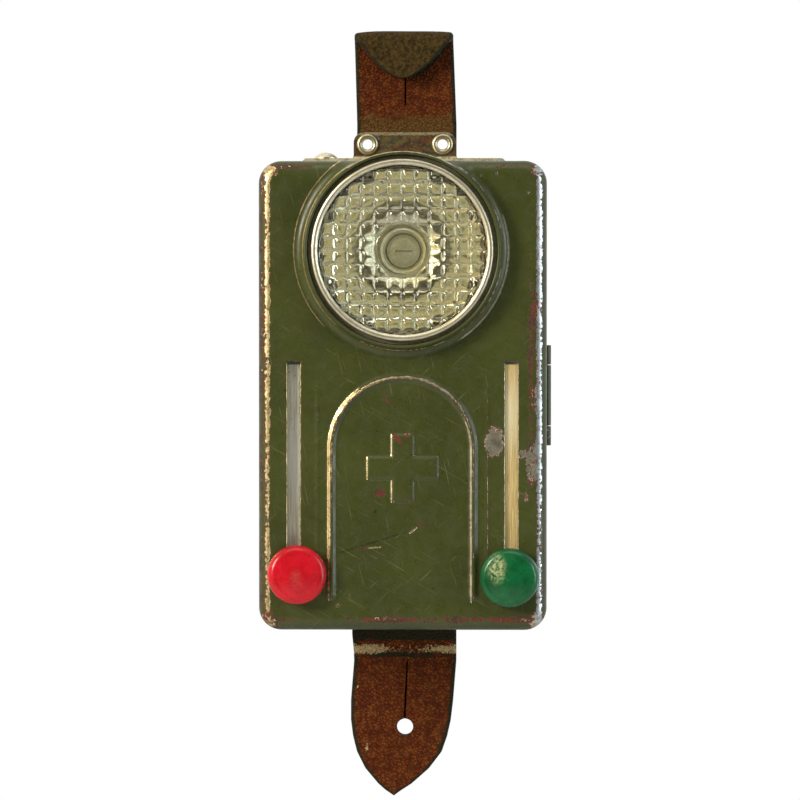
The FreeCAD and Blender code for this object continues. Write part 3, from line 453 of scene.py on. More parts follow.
def leather():
    """Red-brown grained hide: small pebbles, dark worn edges with painted shadows below the case, under the crease and
    beside the flap, a pale rubbed band and the olive flesh side.
    """
    f = Finish("strap_leather")
    edge, flesh, rub, dirt = f.mark("edge"), f.mark("flesh"), f.mark("rub"), f.mark("dirt")
    swirl = f.stretch((0.85, 1.0, 0.65), 0.5)
    pebble = f.span(f.cells(0.9, "F1", swirl), 0.62, 0.12)
    fine, mottle = f.noise(0.5, 4.0, 0.7), f.noise(2.4, 4.0, 0.65)
    hide = f.mix(f.span(mottle, 0.36, 0.64), (0.110, 0.0200, 0.0028), (0.205, 0.048, 0.0065))
    hide = f.mix(f.span(pebble, 0.60, 0.10, 0.0, 0.74), hide, (0.036, 0.008, 0.0018))
    hide = f.mix(f.times(f.span(fine, 0.56, 0.72), f.span(pebble, 0.3, 0.7), 0.42), hide, (0.34, 0.13, 0.045))
    back = f.mix(f.span(f.noise(0.9, 5.0, 0.8), 0.38, 0.62), (0.016, 0.012, 0.0035), (0.072, 0.042, 0.010))
    colour = f.mix(flesh, hide, back)
    stain = f.mix(f.span(fine, 0.38, 0.64), (0.036, 0.022, 0.006), (0.150, 0.075, 0.018))
    colour = f.mix(f.times(f.span(f.plus(dirt, f.sway(mottle, 1.6)), 0.25, 0.75), 0.85), colour, stain)
    # The edge mark darkens worn edges and also holds painted shadows: under the case, under the pale crease and to the
    # right of the flap.
    dark = f.span(f.plus(edge, f.sway(f.noise(1.4, 3.0), 1.0)), 0.42, 0.85)
    colour = f.mix(dark, colour, (0.020, 0.018, 0.008))
    flake = f.span(f.plus(rub, f.sway(f.noise(0.8, 5.0, 0.75), 1.5)), 0.50, 0.58)
    colour = f.mix(flake, colour, f.mix(f.span(fine, 0.4, 0.6), (0.30, 0.20, 0.085), (0.50, 0.38, 0.20)))
    height = f.plus(f.times(pebble, f.less(1.0, f.times(flesh, 0.7))), f.times(fine, 0.5))
    f.bump(height, 0.8, 0.20)
    return f.set(Base_Color=colour, Roughness=f.span(mottle, 0.3, 0.7, 0.45, 0.68), Specular_IOR_Level=0.08)


def clear_glass(name, tint, rough):
    """Clear glass with faint waviness."""
    f = Finish(name)
    f.bump(f.noise(3.0, 2.0), 0.05, 0.1)
    return f.set(Base_Color=tint, Roughness=rough, IOR=1.5, Transmission_Weight=1.0)


def film(name, colour, dark):
    """Clear coloured film with faint ripples."""
    f = Finish(name)
    f.bump(f.noise(6.0, 2.0), 0.12, 0.3)
    tone = f.mix(f.span(f.noise(9.0, 2.0), 0.3, 0.7), colour, dark)
    return f.set(Base_Color=tone, Roughness=0.06, IOR=1.3, Transmission_Weight=0.9)


def grained(name, light, dark, size, rough=0.7, depth=0.08):
    """Plain matt stuff with grain of one size, for cork, fibre and wrapping paper."""
    f = Finish(name)
    grain = f.noise(size, 5.0, 0.75)
    spot = f.span(f.cells(size * 1.7), 0.28, 0.12, 0.0, 0.6)
    f.bump(f.plus(grain, spot), 0.4, depth)
    return f.set(Base_Color=f.mix(spot, f.mix(f.span(grain, 0.35, 0.65), dark, light), dark), Roughness=rough)


def face_figures(f):
    """Wear that follows the pressed figures, from the place alone: bead, cross, creases, collar lines and chips, with
    painted highlights on the bead's and the cross's left-facing flanks and on the flare's arcs.
    """
    side, z = f.math("ABSOLUTE", f.x), f.z
    rise = f.most(f.less(z, arch_z / MM), 0.0)
    span_out = f.length(f.x, rise)
    off = f.less(span_out, arch_r / MM)
    lean = f.math("DIVIDE", f.x, span_out)
    on_arch = f.times(f.span(z, -113.2, -112.0), f.span(off, 3.0, 2.0), f.span(off, -3.0, -2.0))
    # Painted highlight: bare steel on the flank of each leg of the bead that faces the left lamp.
    left_leg = f.times(f.hump(off, 0.70, 0.80), f.span(lean, -0.35, -0.85), f.span(z, -104.0, -96.0, 0.55, 1.0))
    right_leg = f.times(f.hump(off, -0.62, 0.5), f.span(lean, 0.6, 0.95), f.span(z, -66.0, -72.0, 0.5, 0.9))
    upper = f.times(f.hump(off, 0.20, 0.75), f.span(rise, 3.0, 11.0, 0.0, 0.74))
    crest = f.times(f.hump(off, -0.05, 0.65), f.span(f.z, -92.0, -76.0, 0.50, 0.60))
    lit = f.times(f.most(left_leg, right_leg), on_arch, 0.95)
    worn = f.times(f.most(upper, crest), on_arch)
    tall = f.math("ABSOLUTE", f.less(z, cross_z / MM))
    in_bar = f.span(tall, 3.0, 2.8)
    reach = f.plus(f.times(in_bar, 8.75), f.times(f.less(1.0, in_bar), 2.85))
    edge = f.less(reach, side)
    posts = f.times(f.hump(edge, 0.15, 0.42), f.span(tall, 8.5, 8.2))
    # Bare edges round the cross, heavier on the left: wear, and partly a painted highlight on the flanks that face the
    # left lamp.
    cross = f.times(posts, f.span(f.x, 1.0, -1.0, 0.46, 0.74))
    ends = f.times(f.hump(tall, 8.2, 0.55), f.span(side, 3.0, 2.6), 0.56)
    crease = f.times(f.hump(side, 20.6, 0.32), f.span(z, -58.0, -64.0), f.span(z, -113.0, -108.0))
    crease = f.times(crease, f.span(f.x, -1.0, 1.0, 0.44, 0.60))
    around = f.less(z, lens_z / MM)
    r = f.length(f.x, around)
    turn = f.math("DIVIDE", f.x, r)
    left = f.span(turn, -0.30, -0.62)
    # Thin bare arcs on the left of the flare's foot and the collar's rim: partly wear and partly painted highlight.
    arcs = f.times(f.most(f.hump(r, 26.45, 0.30), f.hump(r, 24.15, 0.28)), left, f.span(around, -22.0, -16.0), 0.82)
    lip = f.times(f.hump(r, 23.75, 0.42), f.span(around, 17.0, 21.0), 0.70)
    lip = f.times(lip, f.span(f.y, face_y / MM - 2.6, face_y / MM - 3.4))
    # Painted highlight: a pale bare arc on the right of the flare, standing for the cool right lamp's reflection.
    cool = f.times(f.hump(r, 25.75, 0.55), f.span(turn, 0.42, 0.62), f.span(around, 12.0, 6.0), 0.74)
    red_rim = f.times(f.hump(r, 24.3, 0.45), f.most(f.span(turn, 0.30, 0.6), f.span(around, -20.5, -22.5)), 0.62)
    chips = f.strokes((-6.0, -85.8, -5.0, -86.0, 1.5), (-10.4, -99.5, -5.3, -99.05, 0.32),
                      (-4.8, -62.5, -2.9, -64.5, 0.34), (1.5, -95.9, 4.9, -93.0, 0.36),
                      (-2.0, -72.0, -0.6, -73.4, 0.9), (0.4, -72.1, 1.4, -72.2, 0.5))
    bright = f.strokes((-15.9, -113.4, -15.7, -113.2, 0.55), (19.0, -9.1, 19.1, -8.8, 0.4),
                       (22.7, -8.6, 22.8, -8.3, 0.4), (30.3, -13.5, 30.4, -13.2, 0.4),
                       (-8.2, -99.3, -5.4, -99.1, 0.26), (1.7, -95.7, 3.4, -94.4, 0.28))
    dark = f.strokes((-15.3, -100.5, 1.0, -95.4, 0.26), (-6.6, -90.5, -6.5, -90.4, 0.55),
                     (7.4, -109.0, 7.5, -108.8, 0.5))
    metal = f.most(lit, cross, arcs, cool, lip)
    paint_only = f.most(worn, ends, crease, red_rim)
    return metal, paint_only, chips, bright, dark


def rail_metal(name, light, dark, rubbed, middle, lit, shade_side):
    """Brushed slide rail: long brush lines, dark specks, a painted highlight stretch in a bright colour and one long
    side darkened as painted shade.
    """
    f = Finish(name)
    lines = f.noise(1.0, 3.0, 0.6, f.stretch((0.22, 0.22, 9.0)))
    colour = f.mix(f.span(lines, 0.36, 0.64), light, dark)
    # Painted shade: the rail is darker on one long side of the middle.
    side = f.times(f.less(f.x, middle), shade_side)
    colour = f.mix(f.span(f.plus(side, f.sway(f.noise(2.0, 3.0), 1.2)), 0.2, 0.9, 0.0, 0.75), colour,
                   tuple(0.25 * c for c in dark))
    specks = f.span(f.noise(0.8, 4.0, 0.75), 0.64, 0.70)
    colour = f.mix(f.times(specks, 0.7), colour, (0.05, 0.04, 0.02))
    # Painted highlight: a bright stretch about the given height, in the rubbed colour.
    painted_glint = f.hump(f.z, lit, 14.0)
    f.bump(f.less(lines, specks), 0.2, 0.03)
    rough = f.plus(f.span(lines, 0.2, 0.8, 0.34, 0.50), f.times(painted_glint, -0.08))
    colour = f.mix(f.times(painted_glint, 0.7), colour, rubbed)
    return f.set(Base_Color=colour, Roughness=rough, Metallic=0.30)


def layers(*parts):
    """Adds up wear from pairs of level and depth: the largest level, and the depths weighted by their levels."""
    levels = np.array([p[0] for p in parts])
    depths = np.array([p[1] + 0 * p[0] for p in parts])
    weights = levels ** 4 + 1e-9
    return {"wear": levels.max(axis=0), "bare": (weights * depths).sum(axis=0) / weights.sum(axis=0)}


# Half outlines of the strap and its flap: pairs of height and X in millimetres
STRAP_LEFT = np.array([(-163.6, -2.8), (-162.2, -4.9), (-160.6, -6.7), (-156.7, -10.0), (-152.5, -12.1),
                       (-148.5, -13.1), (-144.5, -13.6), (-139.5, -13.6), (-129.5, -12.8), (-127.0, -12.9),
                       (-123.0, -13.3), (-119, -13.3), (5, -12.0), (26, -12.6)])
STRAP_RIGHT = np.array([(-163.6, -2.8), (-162.4, -1.2), (-160.6, 1.6), (-156.7, 6.0), (-152.5, 9.2), (-148.5, 10.6),
                        (-144.5, 11.5), (-139.5, 12.1), (-129.5, 12.9), (-119, 12.9), (5, 12.9), (26, 12.1)])
FLAP_HIGH = [16.5, 16.9, 17.6, 18.9, 20.6, 22.9, 24.9, 26.6, 27.6]
FLAP_LEFT = [0.5, 1.9, 3.3, 5.5, 7.2, 9.1, 10.5, 11.8, 12.4]
FLAP_RIGHT = [0.0, 0.9, 2.6, 4.5, 6.6, 8.7, 10.2, 11.7, 12.2]


def strap_side(tall, side):
    """The strap's left or right edge in millimetres at a height."""
    return np.interp(tall, *(STRAP_LEFT if side < 0 else STRAP_RIGHT).T)


def flap_side(tall, side):
    """The folded flap's left or right edge at a height: a pointed tongue that widens to the fold's corners."""
    return side * np.interp(tall, FLAP_HIGH, FLAP_LEFT if side < 0 else FLAP_RIGHT) - 0.2


def near(value, centre, width):
    """A soft hump: 1 at the centre, 0 at width from it."""
    return smooth(1 - np.abs(value - centre) / width)


def arch_distance(x, z):
    """Distance from the middle line of the arch: the ring above its centre, the two legs below it."""
    ring = np.abs(np.hypot(x, z - arch_z) - arch_r)
    leg = np.abs(np.abs(x) - arch_r)
    foot = np.hypot(np.abs(x) - arch_r, z - arch_foot)
    return np.where(z > arch_z, ring, np.where(z > arch_foot, leg, foot))


def cross_distance(x, z):
    """Distance inside the outline of the cross, taken from its two bars; negative outside."""
    wide, tall, arm = 8.85 * MM, 8.4 * MM, 2.9 * MM
    across, up = np.abs(x), np.abs(z - cross_z)
    bar = np.minimum(wide - across, arm - up)
    post = np.minimum(arm - across, tall - up)
    return np.maximum(bar, post)


def relief(x, z):
    """How far the face stands out: raised cosine bead, soft cross, faint creases beside the slots and dents."""
    bead = 0.8 * MM * (0.5 + 0.5 * np.cos(np.pi * np.clip(arch_distance(x, z) / (1.35 * MM), 0, 1)))
    cross = 0.52 * MM * smooth((cross_distance(x, z) + 0.15 * MM) / (0.85 * MM))
    reach = smooth((z + 112.5 * MM) / (4 * MM)) * smooth((-57.0 * MM - z) / (6 * MM))
    crease = 0.16 * MM * near(np.abs(x), 20.6 * MM, 0.75 * MM) * reach
    sag = 0.05 * MM * np.sin(x / (9.1 * MM) + 0.7) * np.sin(z / (13.7 * MM))
    dents = 0
    for dx, dz, size, depth in ((11.5, -98.0, 5.0, 0.10), (-9.0, -104.0, 6.0, 0.09), (24.0, -63.0, 4.0, 0.07),
                                (-30.0, -80.0, 4.0, 0.08), (28.5, -22.0, 4.5, 0.07), (5.0, -64.0, 5.0, 0.05)):
        away = np.hypot(x - dx * MM, z - dz * MM) / (size * MM)
        dents = dents + depth * MM * smooth(1 - away)
    return bead + cross + crease + sag - dents


def along(value, places, levels):
    """A level that follows listed places in millimetres."""
    return np.interp(value / MM, places, levels)


def face_wear(x, z):
    """Marks near the four edges and on the bare patches; the levels along each edge are listed."""
    in_left, in_right = (half_width + x) / MM, (half_width - x) / MM
    in_top, in_low = (case_top - z) / MM, (z - case_bottom) / MM
    tall = [-119, -114, -108, -96, -84, -70, -50, -40, -25, -10, -5]
    left = along(z, tall, [0.72, 0.68, 0.64, 0.68, 0.62, 0.74, 0.66, 0.78, 0.76, 0.78, 0.74])
    left_out = along(z, tall, [0.58, 0.56, 0.54, 0.52, 0.56, 0.52, 0.60, 0.60, 0.55, 0.60, 0.64])
    tall = [-119, -113, -104, -92, -84, -78, -62, -56, -44, -30, -18, -10, -5]
    right = along(z, tall, [0.85, 0.72, 0.62, 0.66, 0.70, 0.78, 0.78, 0.76, 0.76, 0.80, 0.78, 0.70, 0.55])
    right_in = along(z, tall, [0.40, 0.30, 0.20, 0.30, 0.42, 0.50, 0.55, 0.58, 0.60, 0.45, 0.40, 0.38, 0.35])
    wide = [-35, -27, -22, -10, 10, 17, 24, 31, 35]
    top = along(x, wide, [0.62, 0.66, 0.50, 0.30, 0.25, 0.46, 0.58, 0.56, 0.50])
    wide = [-35, -30, -24, -14, -10, 0, 8, 18, 28, 35]
    low = along(x, wide, [0.75, 0.60, 0.40, 0.42, 0.60, 0.60, 0.56, 0.62, 0.66, 0.7])
    parts = [(left * near(in_left, 2.25, 1.7), 1.0), (left_out * near(in_left, 0.9, 1.7), 0.62),
             (right * near(in_right, 1.9, 2.0), 1.0), (right_in * near(in_right, 3.9, 2.2), 0.25),
             (top * near(in_top, 1.5, 1.6), 0.45), (low * near(in_low, 2.7, 2.5), 0.35),
             (low * near(in_low, 3.2, 1.2) * near(x / MM, -4.0, 9.0), 0.9)]
    for cx, cz, size, depth in ((-33.2, -117.4, 4.5, 0.6), (33.0, -117.4, 4.5, 1.0), (-32.4, -8.0, 3.4, 0.95),
                                (32.6, -7.6, 3.0, 0.7)):
        corner = np.hypot(x / MM - cx, z / MM - cz)
        parts.append((0.72 * smooth(1.25 - corner / size), depth))
    for px, pz, wide, high, level, depth in ((22.2, -73.4, 2.9, 5.0, 0.74, 0.95), (31.4, -79.0, 2.0, 7.0, 0.66, 0.9),
                                             (28.9, -76.6, 2.6, 1.5, 0.62, 0.85), (31.9, -63.0, 1.6, 4.6, 0.62, 0.9),
                                             (30.0, -87.0, 1.0, 1.8, 0.60, 0.9), (31.6, -42.0, 1.4, 6.0, 0.58, 0.1)):
        away = np.hypot((x / MM - px) / wide, (z / MM - pz) / high)
        parts.append((level * smooth(1.45 - away), depth))
    marks = layers(*parts)
    # Darker along the left edge and, more faintly, along the bottom edge.
    marks["grime"] = 0.8 * np.maximum(near(in_left, 0.1, 0.8), near(in_low, 0.2, 1.4) * 0.6)
    return marks


def ring_of(inset, xs, zs, turn_steps):
    """Once round the case's outline at an inset: straight sides on given places, corners as quarter turns."""
    flat_x, high = half_width - corner_r, case_top - corner_r
    low = case_bottom + corner_r
    r = corner_r - inset
    quarter = np.linspace(0, np.pi / 2, turn_steps + 2)[1:-1]
    top_z, low_z, side = case_top - inset, case_bottom + inset, half_width - inset
    x = np.concatenate([xs, flat_x + r * np.sin(quarter), np.full(zs.size, side), flat_x + r * np.cos(quarter),
                        xs[::-1], -flat_x - r * np.sin(quarter), np.full(zs.size, -side),
                        -flat_x - r * np.cos(quarter)])
    z = np.concatenate([np.full(xs.size, top_z), high + r * np.cos(quarter), zs[::-1], low - r * np.sin(quarter),
                        np.full(xs.size, low_z), low - r * np.cos(quarter), zs, high + r * np.sin(quarter)])
    return x, z


def spaced(stops, step):
    """Places from stop to stop, each stretch divided evenly into steps of about one size."""
    out = [np.linspace(a, b, max(2, int(round((b - a) / step)) + 1))[:-1] for a, b in zip(stops[:-1], stops[1:])]
    return np.concatenate(out + [np.array(stops[-1:])])


def cover_pan(skin, front, inset, radius, step, outer):
    """One side of the drawn cover: a flat grid with holes, then rings over the rounded edge and down the skirt.

    The lens opening is left out of both. On the inner side its rim is moved onto the circle of the opening.
    """
    flat_x = half_width - corner_r
    slot_edge = slot_half + (lip_roll if outer else 0)
    low_edge, top_edge = slot_low - (lip_roll if outer else 0), slot_top + (lip_roll if outer else 0)
    stops = [-flat_x, -slot_x - slot_edge, -slot_x + slot_edge, slot_x - slot_edge, slot_x + slot_edge, flat_x]
    xs = spaced(stops, step)
    zs = spaced([case_bottom + corner_r, low_edge, top_edge, case_top - corner_r], step)
    x, z = np.meshgrid(xs, zs)
    out = relief(x, z) if outer else 0 * x
    middle_x, middle_z = (x[:-1, :-1] + x[1:, 1:]) / 2, (z[:-1, :-1] + z[1:, 1:]) / 2
    hole = (np.abs(np.abs(middle_x) - slot_x) < slot_edge) & (middle_z > low_edge) & (middle_z < top_edge)
    light_hole = collar_r - 0.4 * MM if outer else light_r
    inside = np.hypot(middle_x, middle_z - lens_z) < light_hole
    marks = face_wear(x, z) if outer else {}
    if not outer:
        x, z = snapped(x, z, np.pad(inside, 1), 0.0, lens_z, light_r)
    skin.add(x, face_y + front - out, z, keep=~(hole | inside), **marks)
    flat_insets = np.linspace(corner_r, inset + radius, max(2, int((corner_r - inset - radius) / step) + 1))
    turn = np.radians(np.linspace(0, 90, 9))[1:]
    insets = np.concatenate([flat_insets, inset + radius * (1 - np.sin(turn)), np.full(9, inset)])
    depths = np.concatenate([np.full(flat_insets.size, front), front + radius * (1 - np.cos(turn)),
                             np.linspace(front + radius, skirt_end, 10)[1:]])
    rings = [ring_of(i, xs, zs, 9) for i in insets]
    x = np.array([r[0] for r in rings])
    z = np.array([r[1] for r in rings])
    d = np.broadcast_to(depths[:, None], x.shape).copy()
    marks = {}
    if outer:
        d = d - relief(x, z) * smooth((insets[:, None] - inset) / radius)
        marks = face_wear(x, z)
        deep_in = (d - front) / MM
        marks["wear"] = marks["wear"] * (1 - 0.75 * smooth((deep_in - 1.6) / 3.0))
        marks["wear"] = np.maximum(marks["wear"], 0.52 * smooth((deep_in - 8.0) / 0.9))
        marks["bare"] = marks["bare"] + 0 * d
    notch = (x > half_width - 1.2 * MM) & (np.abs(z - case_middle) < hinge_half + 0.3 * MM)
    d = np.where(notch, np.minimum(d, hinge_depth - 1.3 * MM), d)
    rim = x[-1], d[-1], z[-1]
    middle = [(v[:-1] + v[1:] + np.roll(v[:-1] + v[1:], -1, axis=1)) / 4 for v in (x, z, d)]
    inside = (np.hypot(middle[0], middle[1] - lens_z) < light_hole) & (middle[2] < edge_r - 0.05 * MM)
    if not outer:
        touch = np.pad(inside, ((1, 1), (0, 0)))
        x, z = snapped(x, z, np.concatenate([touch[:, -1:], touch], axis=1), 0.0, lens_z, light_r)
    skin.add(x, face_y + d, z, wrap_cols=True, keep=~inside, **marks)
    return rim


def snapped(x, z, gone, cx, cz, r):
    """Moves points that touch both kept and removed cells out to a circle; gone has a border of cells round it."""
    touching = gone[:-1, :-1].astype(int) + gone[:-1, 1:] + gone[1:, :-1] + gone[1:, 1:]
    at_rim = (touching > 0) & (touching < 4)
    scale = np.where(at_rim, r / (np.hypot(x - cx, z - cz) + 1e-12), 1.0)
    return cx + (x - cx) * scale, cz + (z - cz) * scale


def front_cover(paint):
    """The drawn cover: outer and inner skins, joined round the skirt's rim, slot lips, collar, flare and knuckles."""
    skin = Skin()
    rim_x, rim_d, rim_z = cover_pan(skin, 0.0, 0.0, edge_r, 0.37 * MM, True)
    cover_pan(skin, sheet, sheet, edge_r - sheet, 1.5 * MM, False)
    inner_x = np.clip(rim_x, -half_width + sheet, half_width - sheet)
    inner_z = np.clip(rim_z, case_bottom + sheet, case_top - sheet)
    skin.add(np.array([rim_x, inner_x]), face_y + np.array([rim_d, rim_d]), np.array([rim_z, inner_z]), wrap_cols=True,
             wear=0.6, bare=0.7)
    slot_lips(skin)
    collar(skin)
    knuckles(skin, [(-hinge_half, -hinge_half + 4.7 * MM), (hinge_half - 4.7 * MM, hinge_half)], -1)
    return skin.make("cover_shell", paint, "cover", "olive_paint", ["front_cover"], 50)


def slot_lips(skin):
    """The two slots' walls: each a loop round the slot, rolled in a quarter turn and straight to the back."""
    turn = np.radians([0, 25, 50, 75, 90])
    inward = np.append(lip_roll * np.sin(turn), lip_roll)
    depth = np.append(lip_roll * (1 - np.cos(turn)), sheet)
    for side in (-1, 1):
        half = slot_half + lip_roll
        z = spaced([slot_low - lip_roll, slot_top + lip_roll], 1.0 * MM)
        loop_x = np.concatenate([np.full(z.size, side * slot_x - half), np.full(z.size, side * slot_x + half)])
        loop_z = np.concatenate([z, z[::-1]])
        x = loop_x[None, :] + inward[:, None] * np.sign(side * slot_x - loop_x)[None, :]
        end = np.where(loop_z > slot_top, -1.0, 0.0) + np.where(loop_z < slot_low, 1.0, 0.0)
        z = loop_z[None, :] + inward[:, None] * end[None, :]
        d = np.broadcast_to(depth[:, None], x.shape)
        out = relief(loop_x, loop_z)[None, :] * (1 - d / sheet)
        skin.add(x, face_y + d - out, z, wrap_cols=True,
                 wear=np.array([0.40, 0.62, 0.76, 0.82, 0.8, 0.5])[:, None] * (1 - 0.7 * np.abs(end)), bare=0.9)


def collar(skin):
    """The collar: a ring with a rounded lip, a hollow flare that runs out on the face, and walls at the top edge."""
    lip = 0.38 * MM
    inside = collar_r - collar_wall
    profile = np.concatenate([
        [[light_r, sheet], [light_r, 0.0], [inside - 0.3 * MM, 0.0]],
        arc(inside - 0.3 * MM, -0.3 * MM, 0.3 * MM, 90, 0, 3),
        [[inside, -2.0 * MM], [inside, -collar_height + lip]],
        arc(collar_r - lip, -collar_height + lip, lip, 180, 360, 8)[1:],
        [[collar_r, -2.4 * MM], [collar_r, -1.0 * MM], [collar_r, sheet]]])
    x, y, z = turned(profile, (0.0, lens_z), 240, front=face_y)
    depth = profile[:, 1:] / MM + 0 * x
    within = profile[:, :1] < collar_r - 0.45 * MM
    # Painted shade in the collar's well: darkest deep down and towards the lower right, lighter towards the upper
    # left.
    shaded_lower_right = ((x - z + lens_z) / np.hypot(x, z - lens_z)) * 0.7
    grime = np.where(within, smooth((depth + 3.7) / 1.2) * (0.30 + 0.70 * smooth(shaded_lower_right + 0.35)), 0.0)
    skin.add(x, y, z, wrap_cols=True, wear=0.12, bare=0.6, grime=grime)
    run = np.concatenate([arc(flare_r, -2.5 * MM, 2.5 * MM, 180, 92, 16), [[flare_end, 0.02 * MM]]])
    run[:-1, 1] -= 0.012 * MM
    x, y, z = turned(run, (0.0, lens_z), 240)
    z = np.minimum(z, case_top)
    drop = edge_r - np.sqrt(np.maximum(edge_r ** 2 - np.maximum(edge_r - (case_top - z), 0) ** 2, 0))
    y = y + drop - relief(x, z) * smooth((flare_end - np.hypot(x, z - lens_z)) / MM)
    # Painted shade on the foot of the flare below the lens.
    grime = 0.35 * near(run[:, :1], flare_end, 2.0 * MM) * smooth((lens_z - z) / (20 * MM))
    skin.add(x, face_y + y, z, wrap_cols=True, wear=0.16, bare=0.6, grime=grime)
    reach = math.acos((case_top - lens_z) / collar_r)
    a = np.linspace(-reach, reach, 41)[None, :]
    t = np.linspace(0, 1, 6)[:, None]
    arc_z = lens_z + collar_r * np.cos(a)
    x = collar_r * np.sin(a) + 0 * t
    skin.add(x, face_y + edge_r + 0 * x, case_top + (arc_z - case_top) * t, wear=0.2)
    skin.add(x, face_y + sheet + (edge_r - sheet) * t + 0 * a, arc_z + 0 * t, wear=0.25)
    a = np.linspace(-0.7, 0.7, 61)[None, :]
    inner_r = edge_r - sheet
    hole_z = lens_z + light_r * np.cos(a)
    bend = inner_r - np.sqrt(inner_r ** 2 - np.clip(edge_r - case_top + hole_z, 0, inner_r) ** 2)
    # Painted shade on the wall of the light opening.
    skin.add(light_r * np.sin(a) + 0 * t, face_y + sheet + bend * t, hole_z + 0 * t, grime=0.3)


def knuckles(skin, spans, side):
    """Rolled hinge knuckles: an outline of barrel and web carried along Z, closed at both ends."""
    outer, bore = 1.0 * MM, 0.53 * MM
    a = np.radians(np.linspace(-90, 180, 28))
    barrel_x = hinge_x + outer * np.cos(a)
    barrel_d = hinge_depth - side * outer * np.sin(a)
    inner_x = hinge_x + bore * np.cos(a[::-1])
    inner_d = hinge_depth - side * bore * np.sin(a[::-1])
    web_x = np.array([half_width - 0.62 * MM, half_width - 0.02 * MM])
    loop_x = np.concatenate([barrel_x, inner_x])
    loop_d = np.concatenate([barrel_d, inner_d])
    for low, high in spans:
        z = np.array([low, low + 0.15 * MM, high - 0.15 * MM, high])
        tight = np.array([0.93, 1.0, 1.0, 0.93])[:, None]
        x = hinge_x + (loop_x - hinge_x)[None, :] * tight
        d = hinge_depth + (loop_d - hinge_depth)[None, :] * tight
        skin.add(x, face_y + d, case_middle + z[:, None] + 0 * x, wrap_cols=True, wear=0.42, bare=0.9)
        for end in (0, -1):
            cap_x = np.array([x[end, :28], x[end, 28:][::-1]])
            cap_d = np.array([d[end, :28], d[end, 28:][::-1]])
            skin.add(cap_x, face_y + cap_d, np.full(cap_x.shape, case_middle + z[end]), wear=0.45, bare=0.9)
        near_d, far_d = hinge_depth + side * 0.55 * MM, hinge_depth + side * 1.5 * MM
        plate_x = np.array([web_x[0], web_x[1], web_x[1], web_x[0]])
        plate_d = np.array([near_d, near_d, far_d, far_d])
        px = np.array([plate_x * 0 + np.mean(web_x), plate_x, plate_x, plate_x * 0 + np.mean(web_x)])
        pd = np.array([plate_d * 0 + (near_d + far_d) / 2, plate_d, plate_d, plate_d * 0 + (near_d + far_d) / 2])
        pz = case_middle + np.array([low, low, high, high])[:, None] + 0 * px
        skin.add(px, face_y + pd, pz, wrap_cols=True, wear=0.4)


def lens_bezel(nickel):
    """The nickel ring: a half-round front from its outer side to its lip, and a foot on the collar's floor."""
    outer, inner, lip = 22.2 * MM, 21.7 * MM, 20.5 * MM
    middle, half = (outer + lip) / 2, (outer - lip) / 2
    front = -3.5 * MM
    a = np.radians(np.linspace(0, 180, 26))
    bead = np.column_stack([middle + half * np.cos(a), front + half - half * np.sin(a)])
    profile = np.concatenate([[[inner, 0.0], [22.9 * MM, 0.0], [22.9 * MM, -0.5 * MM], [outer, -0.55 * MM]], bead,
                              [[lip + 0.25 * MM, front + half + 0.25 * MM], [inner, front + half + 0.3 * MM]]])
    skin = Skin().add(*turned(profile, (0.0, lens_z), 200, front=face_y), wrap_rows=True, wrap_cols=True)
    return skin.make("bezel_ring", nickel, "cover", "nickel", ["lens_bezel"], crease=50)


def disc_grid(radius, count):
    """A square grid bent to a disc: each coordinate times the root of 1 minus half the other's square."""
    line = np.linspace(-1, 1, count)
    u, v = np.meshgrid(line, line)
    return radius * u * np.sqrt(1 - v * v / 2), radius * v * np.sqrt(1 - u * u / 2)


def round_of(grid):
    """The border of a square grid, once round."""
    return np.concatenate([grid[0, :-1], grid[:-1, -1], grid[-1, :0:-1], grid[:0:-1, 0]])


def lens_glass(glass):
    """The pressed glass: square pillows, each a product of two cubic humps, round a plain disc, and a flat back."""
    pitch, plain, radius = 3.26 * MM, 6.55 * MM, 21.6 * MM
    x, z = disc_grid(radius, 262)
    r = np.hypot(x, z)
    u = 2 * np.abs(x / pitch + 0.5 - np.round(x / pitch + 0.5))
    v = 2 * np.abs(z / pitch + 0.5 - np.round(z / pitch + 0.5))
    pillow = (1 - u ** 3) * (1 - v ** 3)
    field = smooth((r - plain) / (0.35 * MM)) * smooth((20.5 * MM - r) / (0.5 * MM))
    crown = 0.22 * MM * (1 - (r / radius) ** 2)
    groove = near(r, plain, 0.35 * MM) * 0.14 * MM
    front = -2.30 * MM - crown - 0.30 * MM * near(r, 0, plain) + (1 - pillow) * field * 0.62 * MM + groove
    back_d = -0.5 * MM
    skin = Skin().add(x, face_y + front, lens_z + z)
    wall_x, wall_z, wall_f = round_of(x), round_of(z), round_of(front)
    rows = np.array([0.0, 0.33, 0.66, 1.0])[:, None]
    skin.add(wall_x + 0 * rows, face_y + wall_f + (back_d - wall_f) * rows, lens_z + wall_z + 0 * rows, wrap_cols=True)
    rows = np.array([1.0, 0.75, 0.5, 0.25, 0.0])[:, None]
    skin.add(wall_x * rows, face_y + back_d + 0 * wall_x * rows, lens_z + wall_z * rows, wrap_cols=True)
    return skin.make("lens_pressed", glass, "cover", "lens_glass", ["lens_glass"], crease=60)


